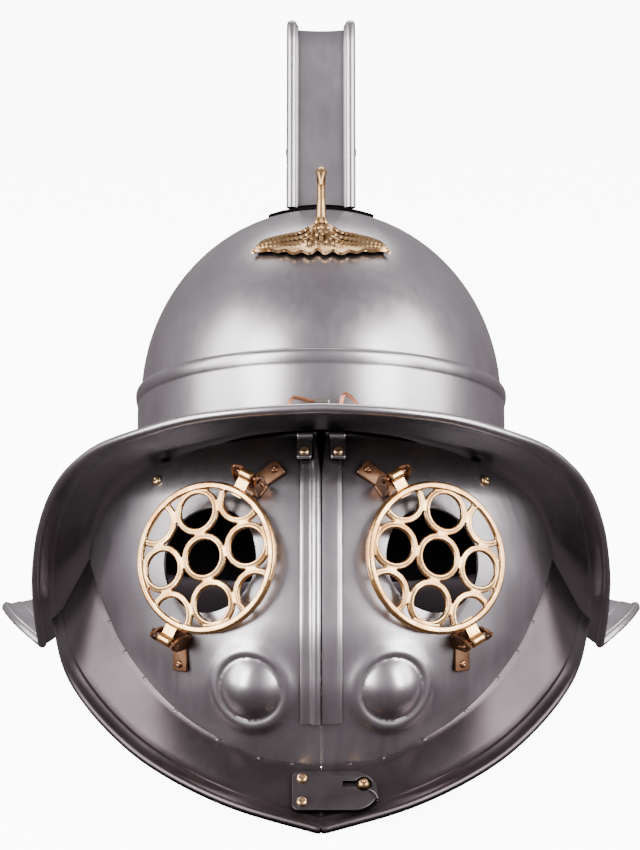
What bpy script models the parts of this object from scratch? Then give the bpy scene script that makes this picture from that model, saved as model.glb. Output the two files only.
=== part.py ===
"""Gladiator helmet: a wide-brimmed steel helmet with a box crest and a hinged face guard.

The helmet is drawn upright, with x to the viewer's right, y to the back and z up, from the axis
of its bowl at the height of the rib band. An empty then tilts it back, so that it rests
on the front of its collar and on the back of its neck guard, with the floor at z = 0.
"""
import math

import bmesh
import bpy
from mathutils import Matrix, Vector

MM = 0.001

# Sheet, rolled rims and the gap that touching pieces keep
SHEET = 1.6 * MM
GAP = 0.3 * MM
BEAD_RADIUS = 2.5 * MM
FOOT_FLAT = 0.4 * MM

# Bowl: half width, depth to the front and to the back, rise of the dome above the rib band
BOWL_HALF_WIDTH = 104 * MM
BOWL_FRONT = 123 * MM
BOWL_BACK = 118 * MM
DOME_RISE = 110 * MM
WALL_OFFSET = 2 * MM
RIB_WIDTH = 9 * MM
RIB_RISE = 3 * MM
WALL_DROP = 112 * MM
WALL_CORNER = 6 * MM

# Brim and neck guard: reach from the wall, and drop of the rim below the rib band
BRIM_REACH = 60 * MM
BRIM_DROP = 140 * MM
BRIM_CROWN = 3 * MM
REAR_RIM_DROP = 120 * MM

# Face plates: depth and half width at the eyes, their lowest and widest points
FACE_SETBACK = 12 * MM
FACE_DEPTH = 138 * MM
FACE_HALF_WIDTH = 133 * MM
FACE_BOTTOM = 219 * MM
FACE_SIDE = 129 * MM
FACE_SPLIT = 0.6 * MM
SPLIT_TOP = 2.6 * MM
SPLIT_LENGTH = 26 * MM

# Collar under the face plates: reach of its rim to the side, to the front and down
COLLAR_SIDE = 152 * MM
COLLAR_FRONT = 143 * MM
COLLAR_BOTTOM = 253 * MM

# Eye openings, grilles and their brackets
EYE_X = 60 * MM
EYE_Z = -112 * MM
EYE_RADIUS = 28 * MM
EYE_TURN = 24
EYE_CUT = 20 * MM
GRILLE_STANDOFF = 6 * MM
GRILLE_RADIUS = 40.3 * MM
GRILLE_RIM = 3.8 * MM
GRILLE_FIELD = GRILLE_RADIUS - GRILLE_RIM
GRILLE_SHEET = 2.4 * MM
GRILLE_RING_HEIGHT = 4.4 * MM
GRILLE_BORDER = 2.3 * MM
GRILLE_BAR = 6.6 * MM
GRILLE_WEB = 0.2 * MM
GRILLE_BAND = GRILLE_BAR / 2 + GRILLE_WEB
GRILLE_HOLE = (GRILLE_FIELD - GRILLE_BAR - GRILLE_BORDER) / 3
GRILLE_SPACING = 2 * GRILLE_HOLE + GRILLE_BAR
GRILLE_TURN = 11
LUG_ANGLE = 61
LUG_REACH = 7.7 * MM
LUG_CENTRE = GRILLE_RADIUS + LUG_REACH
LUG_WIDTH = 8 * MM
LUG_BARREL = 3 * MM
LUG_ROOT = 2 * MM
EAR_WIDTH = 2.6 * MM
EAR_LENGTH = 8 * MM
EAR_OVERHANG = 3.5 * MM
BRACKET_WIDTH = 24 * MM

# Cheek bosses
BOSS_X = 38 * MM
BOSS_Z = -181 * MM
BOSS_SWELL_RADIUS = 29 * MM
BOSS_SWELL = 5 * MM
BOSS_RADIUS = 16.5 * MM
BOSS_RING_RADIUS = 20 * MM
BOSS_RISE = 5 * MM

# Centre strips, their tabs, and the copper wires over the brim
STRIP_WIDTH = 11 * MM
STRIP_BOTTOM_MARGIN = 22 * MM
STRIP_TOP = 4 * MM
TAB_X = 8.5 * MM
TAB_WIDTH = 8 * MM
TAB_HEIGHT = 13 * MM
TAB_DROP = 13.5 * MM
TAB_KNUCKLE = 2.2 * MM
WIRE_RADIUS = 1.1 * MM
LEFT_WIRE_X = -7 * MM
LEFT_WIRE_SPAN = 22 * MM
LEFT_WIRE_RISE = 3.5 * MM
RIGHT_WIRE_X = 16 * MM
RIGHT_WIRE_SPAN = 10 * MM
RIGHT_WIRE_RISE = 5.5 * MM
WIRE_Y = -133 * MM

# Rivets: brass heads
RIVET_RADIUS = 2.9 * MM
RIVET_RISE = 1.8 * MM

# Hinges of the face plates, on their upper edge
HINGE_X = 88 * MM
HINGE_BARREL = 2.5 * MM
LEAF_GAP = 1.2 * MM
HINGE_KNUCKLE = 7 * MM
HINGE_WIDTH = 16 * MM
HINGE_LEAF = 10 * MM
HINGE_RIVET_DROP = 8 * MM
HINGE_FOOT = 5 * MM
HINGE_SETBACK = 1.6 * MM

# Crest: a box fin on the dome
CREST_WIDTH = 40 * MM
CREST_FRONT = 30 * MM
CREST_BACK = 96 * MM
CREST_RISE = 109 * MM
CREST_TOP_LENGTH = 62 * MM
CREST_DIP = 1 * MM
CREST_BEAD = 3 * MM
CREST_RECESS = 3 * MM
CREST_FOOT_MARGIN = 10 * MM
CREST_RIVET_DROP = 76 * MM

# Ornament: a bird with spread wings on the front of the dome
WING_HALF_SPAN = 38.5 * MM
WING_THICKNESS = 4 * MM
WING_PLACE = 47
NECK_RISE = 30 * MM
NECK_RADIUS = 2.4 * MM

# Clasp on the collar
CLASP_LEFT = -15 * MM
CLASP_RIGHT = 29 * MM
CLASP_HEIGHT = 25 * MM
CLASP_PLACE = 0.42
CLASP_LIFT = 0.7 * MM
CLASP_RIVET_X = -10 * MM
CLASP_RIVET_SPAN = 15 * MM
STUD_X = 22 * MM
STUD_RADIUS = 3.1 * MM
KEYHOLE_RADIUS = 4.5 * MM
KEYHOLE_SLOT = 4 * MM
KEYHOLE_LENGTH = 11 * MM
STUD_RISE = 2 * MM

# Fineness of the curved surfaces: columns, rows, and rings of the dome by angle from its crown
FRONT_COLUMNS = 13
BACK_COLUMNS = 9
FACE_COLUMNS = 11
FACE_ROWS = 9
DOME_RINGS = (12, 24, 36, 48, 60, 71, 81)
INNER_RINGS = (90, 75, 60, 42, 22)
BRIM_STEPS = (0.15, 0.5, 0.85)
BEAD_TURNS = (160, 96, 32, -32, -96, -160)

# The brim by azimuth from the front, in degrees, up to the cusps and from there to the back.
# wall and rim are shares of WALL_DROP and BRIM_DROP, reach is a share of BRIM_REACH.
FRONT_BRIM = [
    {"azimuth": 0, "wall": 0.375, "rim": 0.293, "reach": 1.00},
    {"azimuth": 20, "wall": 0.393, "rim": 0.307, "reach": 0.99},
    {"azimuth": 35, "wall": 0.441, "rim": 0.343, "reach": 0.98},
    {"azimuth": 44, "wall": 0.496, "rim": 0.366, "reach": 0.97},
    {"azimuth": 54, "wall": 0.580, "rim": 0.424, "reach": 0.97},
    {"azimuth": 62, "wall": 0.664, "rim": 0.493, "reach": 0.96},
    {"azimuth": 70, "wall": 0.750, "rim": 0.607, "reach": 0.96},
    {"azimuth": 76, "wall": 0.830, "rim": 0.714, "reach": 0.95},
    {"azimuth": 84, "wall": 0.929, "rim": 0.829, "reach": 0.93},
    {"azimuth": 90, "wall": 0.991, "rim": 0.943, "reach": 0.91},
    {"azimuth": 93, "wall": 1.000, "rim": 1.000, "reach": 0.90},
]
REAR_BRIM = [
    {"azimuth": 93, "wall": 1.000, "rim": 1.000, "reach": 0.90},
    {"azimuth": 98, "wall": 0.980, "rim": 0.893, "reach": 1.20},
    {"azimuth": 105, "wall": 0.946, "rim": 0.807, "reach": 1.42},
    {"azimuth": 120, "wall": 0.893, "rim": 0.821, "reach": 1.32},
    {"azimuth": 150, "wall": 0.875, "rim": 0.900, "reach": 1.07},
    {"azimuth": 180, "wall": 0.875, "rim": 0.857, "reach": 1.00},
]
CUSP = FRONT_BRIM[-1]["azimuth"]

# Upright sections of the face plates: drop, depth and half width, as shares of
# FACE_BOTTOM, FACE_DEPTH and FACE_HALF_WIDTH.
FACE_SECTIONS = [
    {"drop": 0.205, "depth": 0.841, "width": 0.977},
    {"drop": 0.342, "depth": 0.949, "width": 1.000},
    {"drop": 0.502, "depth": 1.000, "width": 1.000},
    {"drop": 0.662, "depth": 0.993, "width": 0.955},
    {"drop": 0.799, "depth": 0.935, "width": 0.895},
    {"drop": 0.927, "depth": 0.841, "width": 0.812},
    {"drop": 1.000, "depth": 0.783, "width": 0.752},
]

# Upper and lower edge of a face plate: side is a share of FACE_SIDE, drop of FACE_BOTTOM.
FACE_UPPER = [
    {"side": 0.00, "drop": 0.194},
    {"side": 0.47, "drop": 0.222},
    {"side": 0.68, "drop": 0.262},
    {"side": 0.87, "drop": 0.322},
    {"side": 0.98, "drop": 0.400},
    {"side": 1.00, "drop": 0.432},
]
FACE_LOWER = [
    {"side": 0.00, "drop": 1.000},
    {"side": 0.23, "drop": 0.980},
    {"side": 0.43, "drop": 0.927},
    {"side": 0.60, "drop": 0.856},
    {"side": 0.82, "drop": 0.703},
    {"side": 0.93, "drop": 0.571},
    {"side": 1.00, "drop": 0.452},
]

# Rim of the collar: shares of COLLAR_SIDE, COLLAR_FRONT and COLLAR_BOTTOM, by place along it.
COLLAR_RIM = [
    {"along": 0.00, "side": 0.000, "front": 1.000, "drop": 1.000},
    {"along": 0.25, "side": 0.300, "front": 0.909, "drop": 0.945},
    {"along": 0.50, "side": 0.635, "front": 0.734, "drop": 0.834},
    {"along": 0.78, "side": 0.895, "front": 0.490, "drop": 0.656},
    {"along": 1.00, "side": 0.987, "front": 0.098, "drop": 0.512},
]

# Wings of the ornament: lower and upper edge across the half span, in degrees on the dome from
# WING_PLACE.
WING_EDGES = [
    {"across": 0.00, "lower": 9.0, "upper": -8.0},
    {"across": 0.20, "lower": 10.0, "upper": -3.5},
    {"across": 0.50, "lower": 7.5, "upper": -6.5},
    {"across": 0.80, "lower": 2.5, "upper": -6.0},
    {"across": 1.00, "lower": -2.0, "upper": -5.0},
]

# Neck of the ornament: shares of NECK_RISE along it and forward of it, radius of NECK_RADIUS.
NECK_PATH = [
    {"along": -0.20, "forward": 0.00, "radius": 1.6},
    {"along": 0.15, "forward": 0.06, "radius": 1.3},
    {"along": 0.45, "forward": 0.16, "radius": 1.0},
    {"along": 0.75, "forward": 0.20, "radius": 0.9},
    {"along": 0.93, "forward": 0.28, "radius": 1.0},
    {"along": 0.98, "forward": 0.40, "radius": 1.3},
    {"along": 0.88, "forward": 0.56, "radius": 0.7},
]


def read(table, key, column, value):
    """A smooth curve through a table's column that doesn't overshoot its rows."""
    keys = [row[key] for row in table]
    data = [row[column] for row in table]
    if value <= keys[0]:
        return data[0]
    if value >= keys[-1]:
        return data[-1]
    steps = [keys[i + 1] - keys[i] for i in range(len(keys) - 1)]
    slopes = [(data[i + 1] - data[i]) / steps[i] for i in range(len(steps))]
    tangents = [slopes[0]]
    for before, after in zip(slopes, slopes[1:]):
        tangents.append(0.0 if before * after <= 0 else 2 * before * after / (before + after))
    tangents.append(slopes[-1])
    i = max(index for index in range(len(steps)) if keys[index] <= value)
    t = (value - keys[i]) / steps[i]
    return ((2 * t ** 3 - 3 * t ** 2 + 1) * data[i]
            + (t ** 3 - 2 * t ** 2 + t) * steps[i] * tangents[i]
            + (3 * t ** 2 - 2 * t ** 3) * data[i + 1]
            + (t ** 3 - t ** 2) * steps[i] * tangents[i + 1])


# The resting plane runs through the collar's front and the back of the neck guard.
REST_FRONT = Vector((0, -COLLAR_FRONT, -COLLAR_BOTTOM - BEAD_RADIUS))
REST_BACK = Vector((0, BOWL_BACK + WALL_OFFSET + BRIM_REACH, -REAR_RIM_DROP - BEAD_RADIUS))
TILT = math.atan2(REST_BACK.z - REST_FRONT.z, REST_BACK.y - REST_FRONT.y)
UP = Vector((0, -math.sin(TILT), math.cos(TILT)))


def height_over_floor(point):
    return (Vector(point) - REST_FRONT).dot(UP) - FOOT_FLAT


def lift_to_floor(point):
    """A point that would lie under the resting plane is brought up to it."""
    return Vector(point) + UP * max(0.0, -height_over_floor(point))


def material(name, colour, metallic, roughness):
    finish = bpy.data.materials.new(name)
    finish.use_nodes = True
    shader = finish.node_tree.nodes["Principled BSDF"]
    shader.inputs["Base Color"].default_value = (*colour, 1)
    shader.inputs["Metallic"].default_value = metallic
    shader.inputs["Roughness"].default_value = roughness
    return finish


def add_empty(name, place, parent=None):
    empty = bpy.data.objects.new(name, None)
    bpy.context.collection.objects.link(empty)
    empty.location = place
    empty.parent = parent
    return empty


def add_object(name, bm, finish, parent, cutter=False):
    """Make an object on its parent's origin, from a mesh drawn in the upright helmet's frame."""
    if parent.parent:
        bmesh.ops.translate(bm, vec=-parent.location, verts=bm.verts)
    bmesh.ops.recalc_face_normals(bm, faces=bm.faces)
    mesh = bpy.data.meshes.new(name)
    bm.to_mesh(mesh)
    bm.free()
    mesh.materials.append(finish)
    mesh.shade_smooth()
    mesh.set_sharp_from_angle(angle=math.radians(35))
    piece = bpy.data.objects.new(name, mesh)
    bpy.context.collection.objects.link(piece)
    piece.parent = parent
    if cutter:
        piece.hide_render = True
        piece.display_type = "WIRE"
    return piece


def combine(piece, tool, operation):
    """Cut a piece by a tool, or join the tool's solid to it."""
    boolean = piece.modifiers.new(operation.title(), "BOOLEAN")
    boolean.operation = operation
    boolean.solver = "EXACT"
    boolean.object = tool


def skin(rings, closed=True, poles=(None, None)):
    """Quads between rings of points, closed at both ends by a pole or by a face."""
    bm = bmesh.new()
    loops = [[bm.verts.new(point) for point in ring] for ring in rings]
    count = len(rings[0])
    last = count if closed else count - 1
    for first, second in zip(loops, loops[1:]):
        for i in range(last):
            j = (i + 1) % count
            bm.faces.new((first[i], first[j], second[j], second[i]))
    for pole, loop in zip(poles, (loops[0], loops[-1])):
        if pole is None:
            bm.faces.new(loop)
            continue
        tip = bm.verts.new(pole)
        for i in range(count):
            bm.faces.new((loop[i], loop[(i + 1) % count], tip))
    return bm


def plate(grid, thickness, inside):
    """A closed plate under a grid of points on its outer face. inside is a point behind it."""
    rows = len(grid)
    columns = len(grid[0])
    inner = []
    for i in range(rows):
        line = []
        for j in range(columns):
            down = grid[min(i + 1, rows - 1)][j] - grid[max(i - 1, 0)][j]
            across = grid[i][min(j + 1, columns - 1)] - grid[i][max(j - 1, 0)]
            normal = down.cross(across).normalized()
            if normal.dot(grid[i][j] - inside) < 0:
                normal.negate()
            line.append(grid[i][j] - normal * thickness)
        inner.append(line)
    bm = bmesh.new()
    outer_verts = [[bm.verts.new(point) for point in line] for line in grid]
    inner_verts = [[bm.verts.new(point) for point in line] for line in inner]
    for sheet in (outer_verts, inner_verts):
        for i in range(rows - 1):
            for j in range(columns - 1):
                bm.faces.new((sheet[i][j], sheet[i + 1][j], sheet[i + 1][j + 1], sheet[i][j + 1]))
    border = [(i, 0) for i in range(rows)]
    border += [(rows - 1, j) for j in range(1, columns)]
    border += [(i, columns - 1) for i in range(rows - 2, -1, -1)]
    border += [(0, j) for j in range(columns - 2, 0, -1)]
    for (a, b), (c, d) in zip(border, border[1:] + border[:1]):
        bm.faces.new((outer_verts[a][b], outer_verts[c][d], inner_verts[c][d], inner_verts[a][b]))
    return bm


def prism(outline, low, high):
    """A straight solid between two heights over a flat outline of (x, y) points."""
    return skin([[Vector((x, y, low)) for x, y in outline],
                 [Vector((x, y, high)) for x, y in outline]])


def turned(profile, sides):
    """A solid of revolution about z from (radius, height) points that start and end on the axis."""
    rings = []
    for radius, height in profile[1:-1]:
        angles = [2 * math.pi * i / sides for i in range(sides)]
        rings.append([Vector((radius * math.cos(a), radius * math.sin(a), height)) for a in angles])
    return skin(rings, poles=(Vector((0, 0, profile[0][1])), Vector((0, 0, profile[-1][1]))))


def tube(path, radii, sides):
    """A round bar along a path, with flat ends."""
    rings = []
    side = None
    for i, point in enumerate(path):
        along = (path[min(i + 1, len(path) - 1)] - path[max(i - 1, 0)]).normalized()
        if side is None:
            side = along.orthogonal().normalized()
        side = (side - along * side.dot(along)).normalized()
        other = along.cross(side)
        angles = [2 * math.pi * k / sides for k in range(sides)]
        rings.append([point + (side * math.cos(a) + other * math.sin(a)) * radii[i]
                      for a in angles])
    return skin(rings)


def frame_at(point, out, upward=Vector((0, 0, 1))):
    """A placing whose local z points out of a surface and whose local y points upward."""
    out = out.normalized()
    across = upward.cross(out).normalized()
    turn = Matrix((across, out.cross(across), out)).transposed().to_4x4()
    return Matrix.Translation(point) @ turn


def merge(parts):
    """Several closed meshes in one."""
    whole = bmesh.new()
    for part in parts:
        scrap = bpy.data.meshes.new("scrap")
        part.to_mesh(scrap)
        part.free()
        whole.from_mesh(scrap)
        bpy.data.meshes.remove(scrap)
    return whole


def bowl_point(azimuth, polar):
    """A point of the dome: azimuth from the front, polar angle down from the crown."""
    depth = BOWL_FRONT if math.cos(azimuth) > 0 else BOWL_BACK
    return Vector((BOWL_HALF_WIDTH * math.sin(azimuth) * math.sin(polar),
                   -depth * math.cos(azimuth) * math.sin(polar),
                   DOME_RISE * math.cos(polar)))


def dome_point(x, y):
    """The point of the dome's outside over a place (x, y), and the way out of it there."""
    depth = BOWL_FRONT if y < 0 else BOWL_BACK
    rest = 1 - (x / BOWL_HALF_WIDTH) ** 2 - (y / depth) ** 2
    point = Vector((x, y, DOME_RISE * math.sqrt(max(rest, 0.0))))
    out = Vector((x / BOWL_HALF_WIDTH ** 2, y / depth ** 2, point.z / DOME_RISE ** 2))
    return point, out.normalized()


def brim_section(azimuth):
    """The wall's lower corner, the rim and the way out, for an azimuth in degrees from the front."""
    turn = abs(azimuth)
    table = FRONT_BRIM if turn <= CUSP else REAR_BRIM
    wall_drop = WALL_DROP * read(table, "azimuth", "wall", turn)
    rim_drop = BRIM_DROP * read(table, "azimuth", "rim", turn)
    reach = BRIM_REACH * read(table, "azimuth", "reach", turn)
    angle = math.radians(azimuth)
    depth = BOWL_FRONT if turn < 90 else BOWL_BACK
    half_width = BOWL_HALF_WIDTH + WALL_OFFSET
    depth += WALL_OFFSET
    corner = Vector((half_width * math.sin(angle), -depth * math.cos(angle), -wall_drop))
    out = Vector((math.sin(angle) / half_width, -math.cos(angle) / depth, 0)).normalized()
    rim = corner + out * reach
    rim.z = -rim_drop
    return corner, rim, out


def shell_column(azimuth):
    """One upright section of the shell: from the crown over the outside, and back inside."""
    angle = math.radians(azimuth)
    corner, rim, out = brim_section(azimuth)
    rib_low = Vector((corner.x, corner.y, -RIB_WIDTH / 2))
    side = bowl_point(angle, math.radians(90))
    points = [bowl_point(angle, math.radians(p)) for p in DOME_RINGS]
    points.append(side + Vector((0, 0, RIB_WIDTH / 2)))
    points.append(side + out * (RIB_RISE + WALL_OFFSET) + Vector((0, 0, RIB_WIDTH / 6)))
    points.append(rib_low + out * RIB_RISE + Vector((0, 0, RIB_WIDTH / 4)))
    points.append(rib_low)
    points.append(rib_low.lerp(corner, 0.5))
    along = (rim - corner).normalized()
    over = out * -along.z + Vector((0, 0, 1)) * along.dot(out)
    points.append(corner + Vector((0, 0, WALL_CORNER)))
    points.append(corner + along * WALL_CORNER * 0.3 + Vector((0, 0, WALL_CORNER * 0.3)))
    flat_end = rim - along * BEAD_RADIUS
    for share in BRIM_STEPS:
        crown = BRIM_CROWN * math.sin(math.pi * share)
        points.append(corner.lerp(flat_end, share) + over * (SHEET / 2 + crown))
    for turn in BEAD_TURNS:
        a = math.radians(turn)
        points.append(rim + (along * math.cos(a) + over * math.sin(a)) * BEAD_RADIUS)
    for share in reversed(BRIM_STEPS):
        crown = BRIM_CROWN * math.sin(math.pi * share)
        points.append(corner.lerp(flat_end, share) + over * (crown - SHEET / 2))
    points.append(corner - out * SHEET - over * SHEET / 2)
    points.append(corner - out * SHEET + Vector((0, 0, WALL_CORNER)))
    points.append(rib_low.lerp(corner, 0.5) - out * SHEET)
    for polar in INNER_RINGS:
        share = 1 - SHEET / BOWL_HALF_WIDTH
        points.append(bowl_point(angle, math.radians(polar)) * share)
    return [lift_to_floor(point) for point in points]


def azimuths():
    """Azimuths of the shell's sections, all the way round, with one on each cusp."""
    half = [CUSP * i / FRONT_COLUMNS for i in range(FRONT_COLUMNS)]
    half += [CUSP + (180 - CUSP) * i / BACK_COLUMNS for i in range(BACK_COLUMNS + 1)]
    return half + [-azimuth for azimuth in half[-2:0:-1]]


def make_shell(finish, frame):
    columns = [shell_column(azimuth) for azimuth in azimuths()]
    rings = [[column[i] for column in columns] for i in range(len(columns[0]))]
    crown = Vector((0, 0, DOME_RISE))
    bm = skin(rings, poles=(crown, crown - Vector((0, 0, SHEET))))
    return add_object("shell", bm, finish, frame)


def dome_block(name, offset, finish, frame):
    """A cutter that fills the dome up to an offset outside it, with the shell's own facets."""
    rings = []
    for polar in (*DOME_RINGS, 90):
        ring = []
        for azimuth in azimuths():
            point = bowl_point(math.radians(azimuth), math.radians(polar))
            out = dome_point(point.x, point.y)[1]
            ring.append(point + out * offset)
        rings.append(ring)
    bm = skin(rings, poles=(Vector((0, 0, DOME_RISE + offset)), Vector((0, 0, -offset))))
    return add_object(name, bm, finish, frame, cutter=True)


def crest_outline():
    """The crest's side in (y, z): up its front, back along its top and down to the dome."""
    top = DOME_RISE + CREST_RISE
    start = dome_point(CREST_WIDTH / 2, -CREST_FRONT)[0].z - CREST_BEAD
    end = dome_point(CREST_WIDTH / 2, CREST_BACK)[0].z - CREST_BEAD
    outline = [(-CREST_FRONT, start + (top - start) * i / 3) for i in range(3)]
    outline += [(-CREST_FRONT, top), (-CREST_FRONT + CREST_TOP_LENGTH * 0.5, top - CREST_DIP)]
    sweep_start = -CREST_FRONT + CREST_TOP_LENGTH
    for i in range(9):
        a = math.radians(90 * i / 8)
        outline.append((sweep_start + (CREST_BACK - sweep_start) * math.sin(a),
                        end + (top - end) * math.cos(a)))
    return outline


def make_crest(steel, dark, brass, frame):
    """Foot flange, two side plates with rolled edges, and the channel between them."""
    foot_top = GAP + SHEET
    seat = dome_block("crest_seat", foot_top + GAP, dark, frame)
    half = CREST_WIDTH / 2 + CREST_FOOT_MARGIN
    front = -CREST_FRONT - CREST_FOOT_MARGIN * 0.4
    back = CREST_BACK + CREST_FOOT_MARGIN * 0.4
    trim = CREST_FOOT_MARGIN * 0.6
    outline = [(-half + trim, front), (half - trim, front), (half, front + trim),
               (half, back - trim), (half - trim, back), (-half + trim, back),
               (-half, back - trim), (-half, front + trim)]
    foot = add_object("crest_foot", prism(outline, 0, 2 * DOME_RISE), dark, frame)
    combine(foot, dome_block("foot_top", foot_top, dark, frame), "INTERSECT")
    combine(foot, dome_block("foot_seat", GAP, dark, frame), "DIFFERENCE")
    outline = crest_outline()
    for side, word in ((-1, "left"), (1, "right")):
        low, high = sorted((side * (CREST_WIDTH / 2 - CREST_BEAD - SHEET / 2),
                            side * (CREST_WIDTH / 2 - CREST_BEAD + SHEET / 2)))
        cheek = [[Vector((x, y, z)) for y, z in outline] for x in (low, high)]
        piece = add_object("crest_plate_" + word, skin(cheek), steel, frame)
        x = side * (CREST_WIDTH / 2 - CREST_BEAD)
        path = [Vector((x, y, z)) for y, z in outline]
        bead = add_object("crest_bead_" + word, tube(path, [CREST_BEAD] * len(path), 8), steel,
                          frame, cutter=True)
        combine(piece, bead, "UNION")
        combine(piece, seat, "DIFFERENCE")
        rivet_y = -CREST_FRONT + CREST_BEAD * 2.5
        rivet_z = DOME_RISE + CREST_RISE - CREST_RIVET_DROP
        head = rivet_mesh(RIVET_RADIUS, RIVET_RISE)
        face = Vector((x + side * (SHEET / 2 + GAP), rivet_y, rivet_z))
        bmesh.ops.transform(head, matrix=frame_at(face, Vector((side, 0, 0))), verts=head.verts)
        add_object("crest_rivet_" + word, head, brass, frame)
    half = CREST_WIDTH / 2 - 2 * CREST_BEAD - GAP
    rings = []
    for i, (y, z) in enumerate(outline):
        before = Vector(outline[max(i - 1, 0)])
        after = Vector(outline[min(i + 1, len(outline) - 1)])
        along = (after - before).normalized()
        inward = Vector((along.y, -along.x))
        near = Vector((y, z)) + inward * (CREST_RECESS - SHEET)
        far = near + inward * SHEET
        rings.append([Vector((-half, near.x, near.y)), Vector((half, near.x, near.y)),
                      Vector((half, far.x, far.y)), Vector((-half, far.x, far.y))])
    channel = add_object("crest_channel", skin(rings), steel, frame)
    combine(channel, seat, "DIFFERENCE")


def rivet_mesh(radius, rise):
    """A round rivet head on a short flat foot, its seat at z = 0."""
    profile = [(0, 0), (radius, 0), (radius, rise * 0.35), (radius * 0.7, rise * 0.85), (0, rise)]
    return turned(profile, 10)


def make_ornament(finish, frame):
    """Spread wings that lie on the dome, and the bird's neck and head in front of the crest."""
    grid = []
    for i in range(5):
        line = []
        for j in range(17):
            across = 2 * j / 16 - 1
            upper = read(WING_EDGES, "across", "upper", abs(across))
            lower = read(WING_EDGES, "across", "lower", abs(across))
            polar = math.radians(WING_PLACE + upper + (lower - upper) * i / 4)
            x = WING_HALF_SPAN * across
            y = -BOWL_FRONT * math.sin(polar)
            point, out = dome_point(x, y * math.sqrt(1 - (x / BOWL_HALF_WIDTH) ** 2))
            line.append(point + out * (GAP + WING_THICKNESS))
        grid.append(line)
    piece = add_object("ornament", plate(grid, WING_THICKNESS, Vector((0, 0, 0))), finish, frame)
    base = bowl_point(0, math.radians(WING_PLACE)) + Vector((0, 0, WING_THICKNESS))
    path = []
    for row in NECK_PATH:
        path.append(base + Vector((0, -row["forward"], row["along"])) * NECK_RISE)
    radii = [NECK_RADIUS * row["radius"] for row in NECK_PATH]
    neck = add_object("ornament_neck", tube(path, radii, 8), finish, frame, cutter=True)
    combine(piece, neck, "UNION")
    combine(piece, dome_block("ornament_seat", GAP, finish, frame), "DIFFERENCE")


def face_y(x, z):
    """How far forward the face plate's outside stands at a place (x, z)."""
    drop = -z / FACE_BOTTOM
    depth = FACE_DEPTH * read(FACE_SECTIONS, "drop", "depth", drop)
    width = FACE_HALF_WIDTH * read(FACE_SECTIONS, "drop", "width", drop)
    y = -FACE_SETBACK - depth * math.sqrt(max(1 - (x / width) ** 2, 0.0))
    away = math.hypot(abs(x) - BOSS_X, z - BOSS_Z) / BOSS_SWELL_RADIUS
    return y - BOSS_SWELL * math.exp(-2.5 * away ** 2)


def face_point(x, z):
    """The point of the face plate's outside at (x, z), and the way out of it there."""
    step = 1 * MM
    slope_x = (face_y(x + step, z) - face_y(x - step, z)) / (2 * step)
    slope_z = (face_y(x, z + step) - face_y(x, z - step)) / (2 * step)
    return Vector((x, face_y(x, z), z)), Vector((slope_x, -1, slope_z)).normalized()


def face_edge(table, x):
    return -FACE_BOTTOM * read(table, "side", "drop", x / FACE_SIDE)


def split_half(z):
    """Half of the split between the face plates, which opens upward."""
    share = max(0.0, 1 - (face_edge(FACE_UPPER, 0) - z) / SPLIT_LENGTH)
    return FACE_SPLIT / 2 + SPLIT_TOP * share


def face_grid(side):
    """Points of a face plate's outside, with the first two columns beside its centre strip."""
    places = [0, STRIP_WIDTH]
    for j in range(1, FACE_COLUMNS):
        share = 1 - (1 - j / (FACE_COLUMNS - 1)) ** 1.4
        places.append(STRIP_WIDTH + (FACE_SIDE - STRIP_WIDTH) * share)
    grid = []
    for i in range(FACE_ROWS + 1):
        line = []
        for place in places:
            upper = face_edge(FACE_UPPER, place)
            lower = face_edge(FACE_LOWER, place)
            z = upper + (lower - upper) * i / FACE_ROWS
            x = max(place, split_half(z))
            line.append(Vector((side * x, face_y(x, z), z)))
        grid.append(line)
    return grid


def make_visor(side, word, steel, hinge):
    """Half of the face guard, with its eye opening and its cheek boss."""
    bm = plate(face_grid(side), SHEET, Vector((0, 0, EYE_Z)))
    piece = add_object("visor_" + word, bm, steel, hinge)
    point, out = face_point(side * EYE_X, EYE_Z)
    hole = turned([(0, -EYE_CUT), (EYE_RADIUS, -EYE_CUT), (EYE_RADIUS, EYE_CUT), (0, EYE_CUT)], 24)
    bmesh.ops.transform(hole, matrix=frame_at(point, out), verts=hole.verts)
    opening = add_object("eye_cutter_" + word, hole, steel, hinge, cutter=True)
    combine(piece, opening, "DIFFERENCE")
    point, out = face_point(side * BOSS_X, BOSS_Z)
    groove = (BOSS_RADIUS + BOSS_RING_RADIUS) / 2
    profile = [(0, -SHEET), (BOSS_RING_RADIUS, -SHEET), (BOSS_RING_RADIUS, 0.3 * BOSS_RISE),
               (groove, 0.3 * BOSS_RISE), (BOSS_RADIUS, 0.2 * BOSS_RISE),
               (BOSS_RADIUS * 0.85, 0.6 * BOSS_RISE), (BOSS_RADIUS * 0.5, 0.92 * BOSS_RISE),
               (0, BOSS_RISE)]
    boss = turned(profile, 20)
    bmesh.ops.transform(boss, matrix=frame_at(point, out), verts=boss.verts)
    combine(piece, add_object("boss_form_" + word, boss, steel, hinge, cutter=True), "UNION")
    return piece


def collar_rim(along):
    return Vector((COLLAR_SIDE * read(COLLAR_RIM, "along", "side", along),
                   -COLLAR_FRONT * read(COLLAR_RIM, "along", "front", along),
                   -COLLAR_BOTTOM * read(COLLAR_RIM, "along", "drop", along)))


def collar_root(along):
    x = FACE_SIDE * math.sin(math.radians(90 * along))
    z = face_edge(FACE_LOWER, x)
    return Vector((x, face_y(x, z), z))


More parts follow.
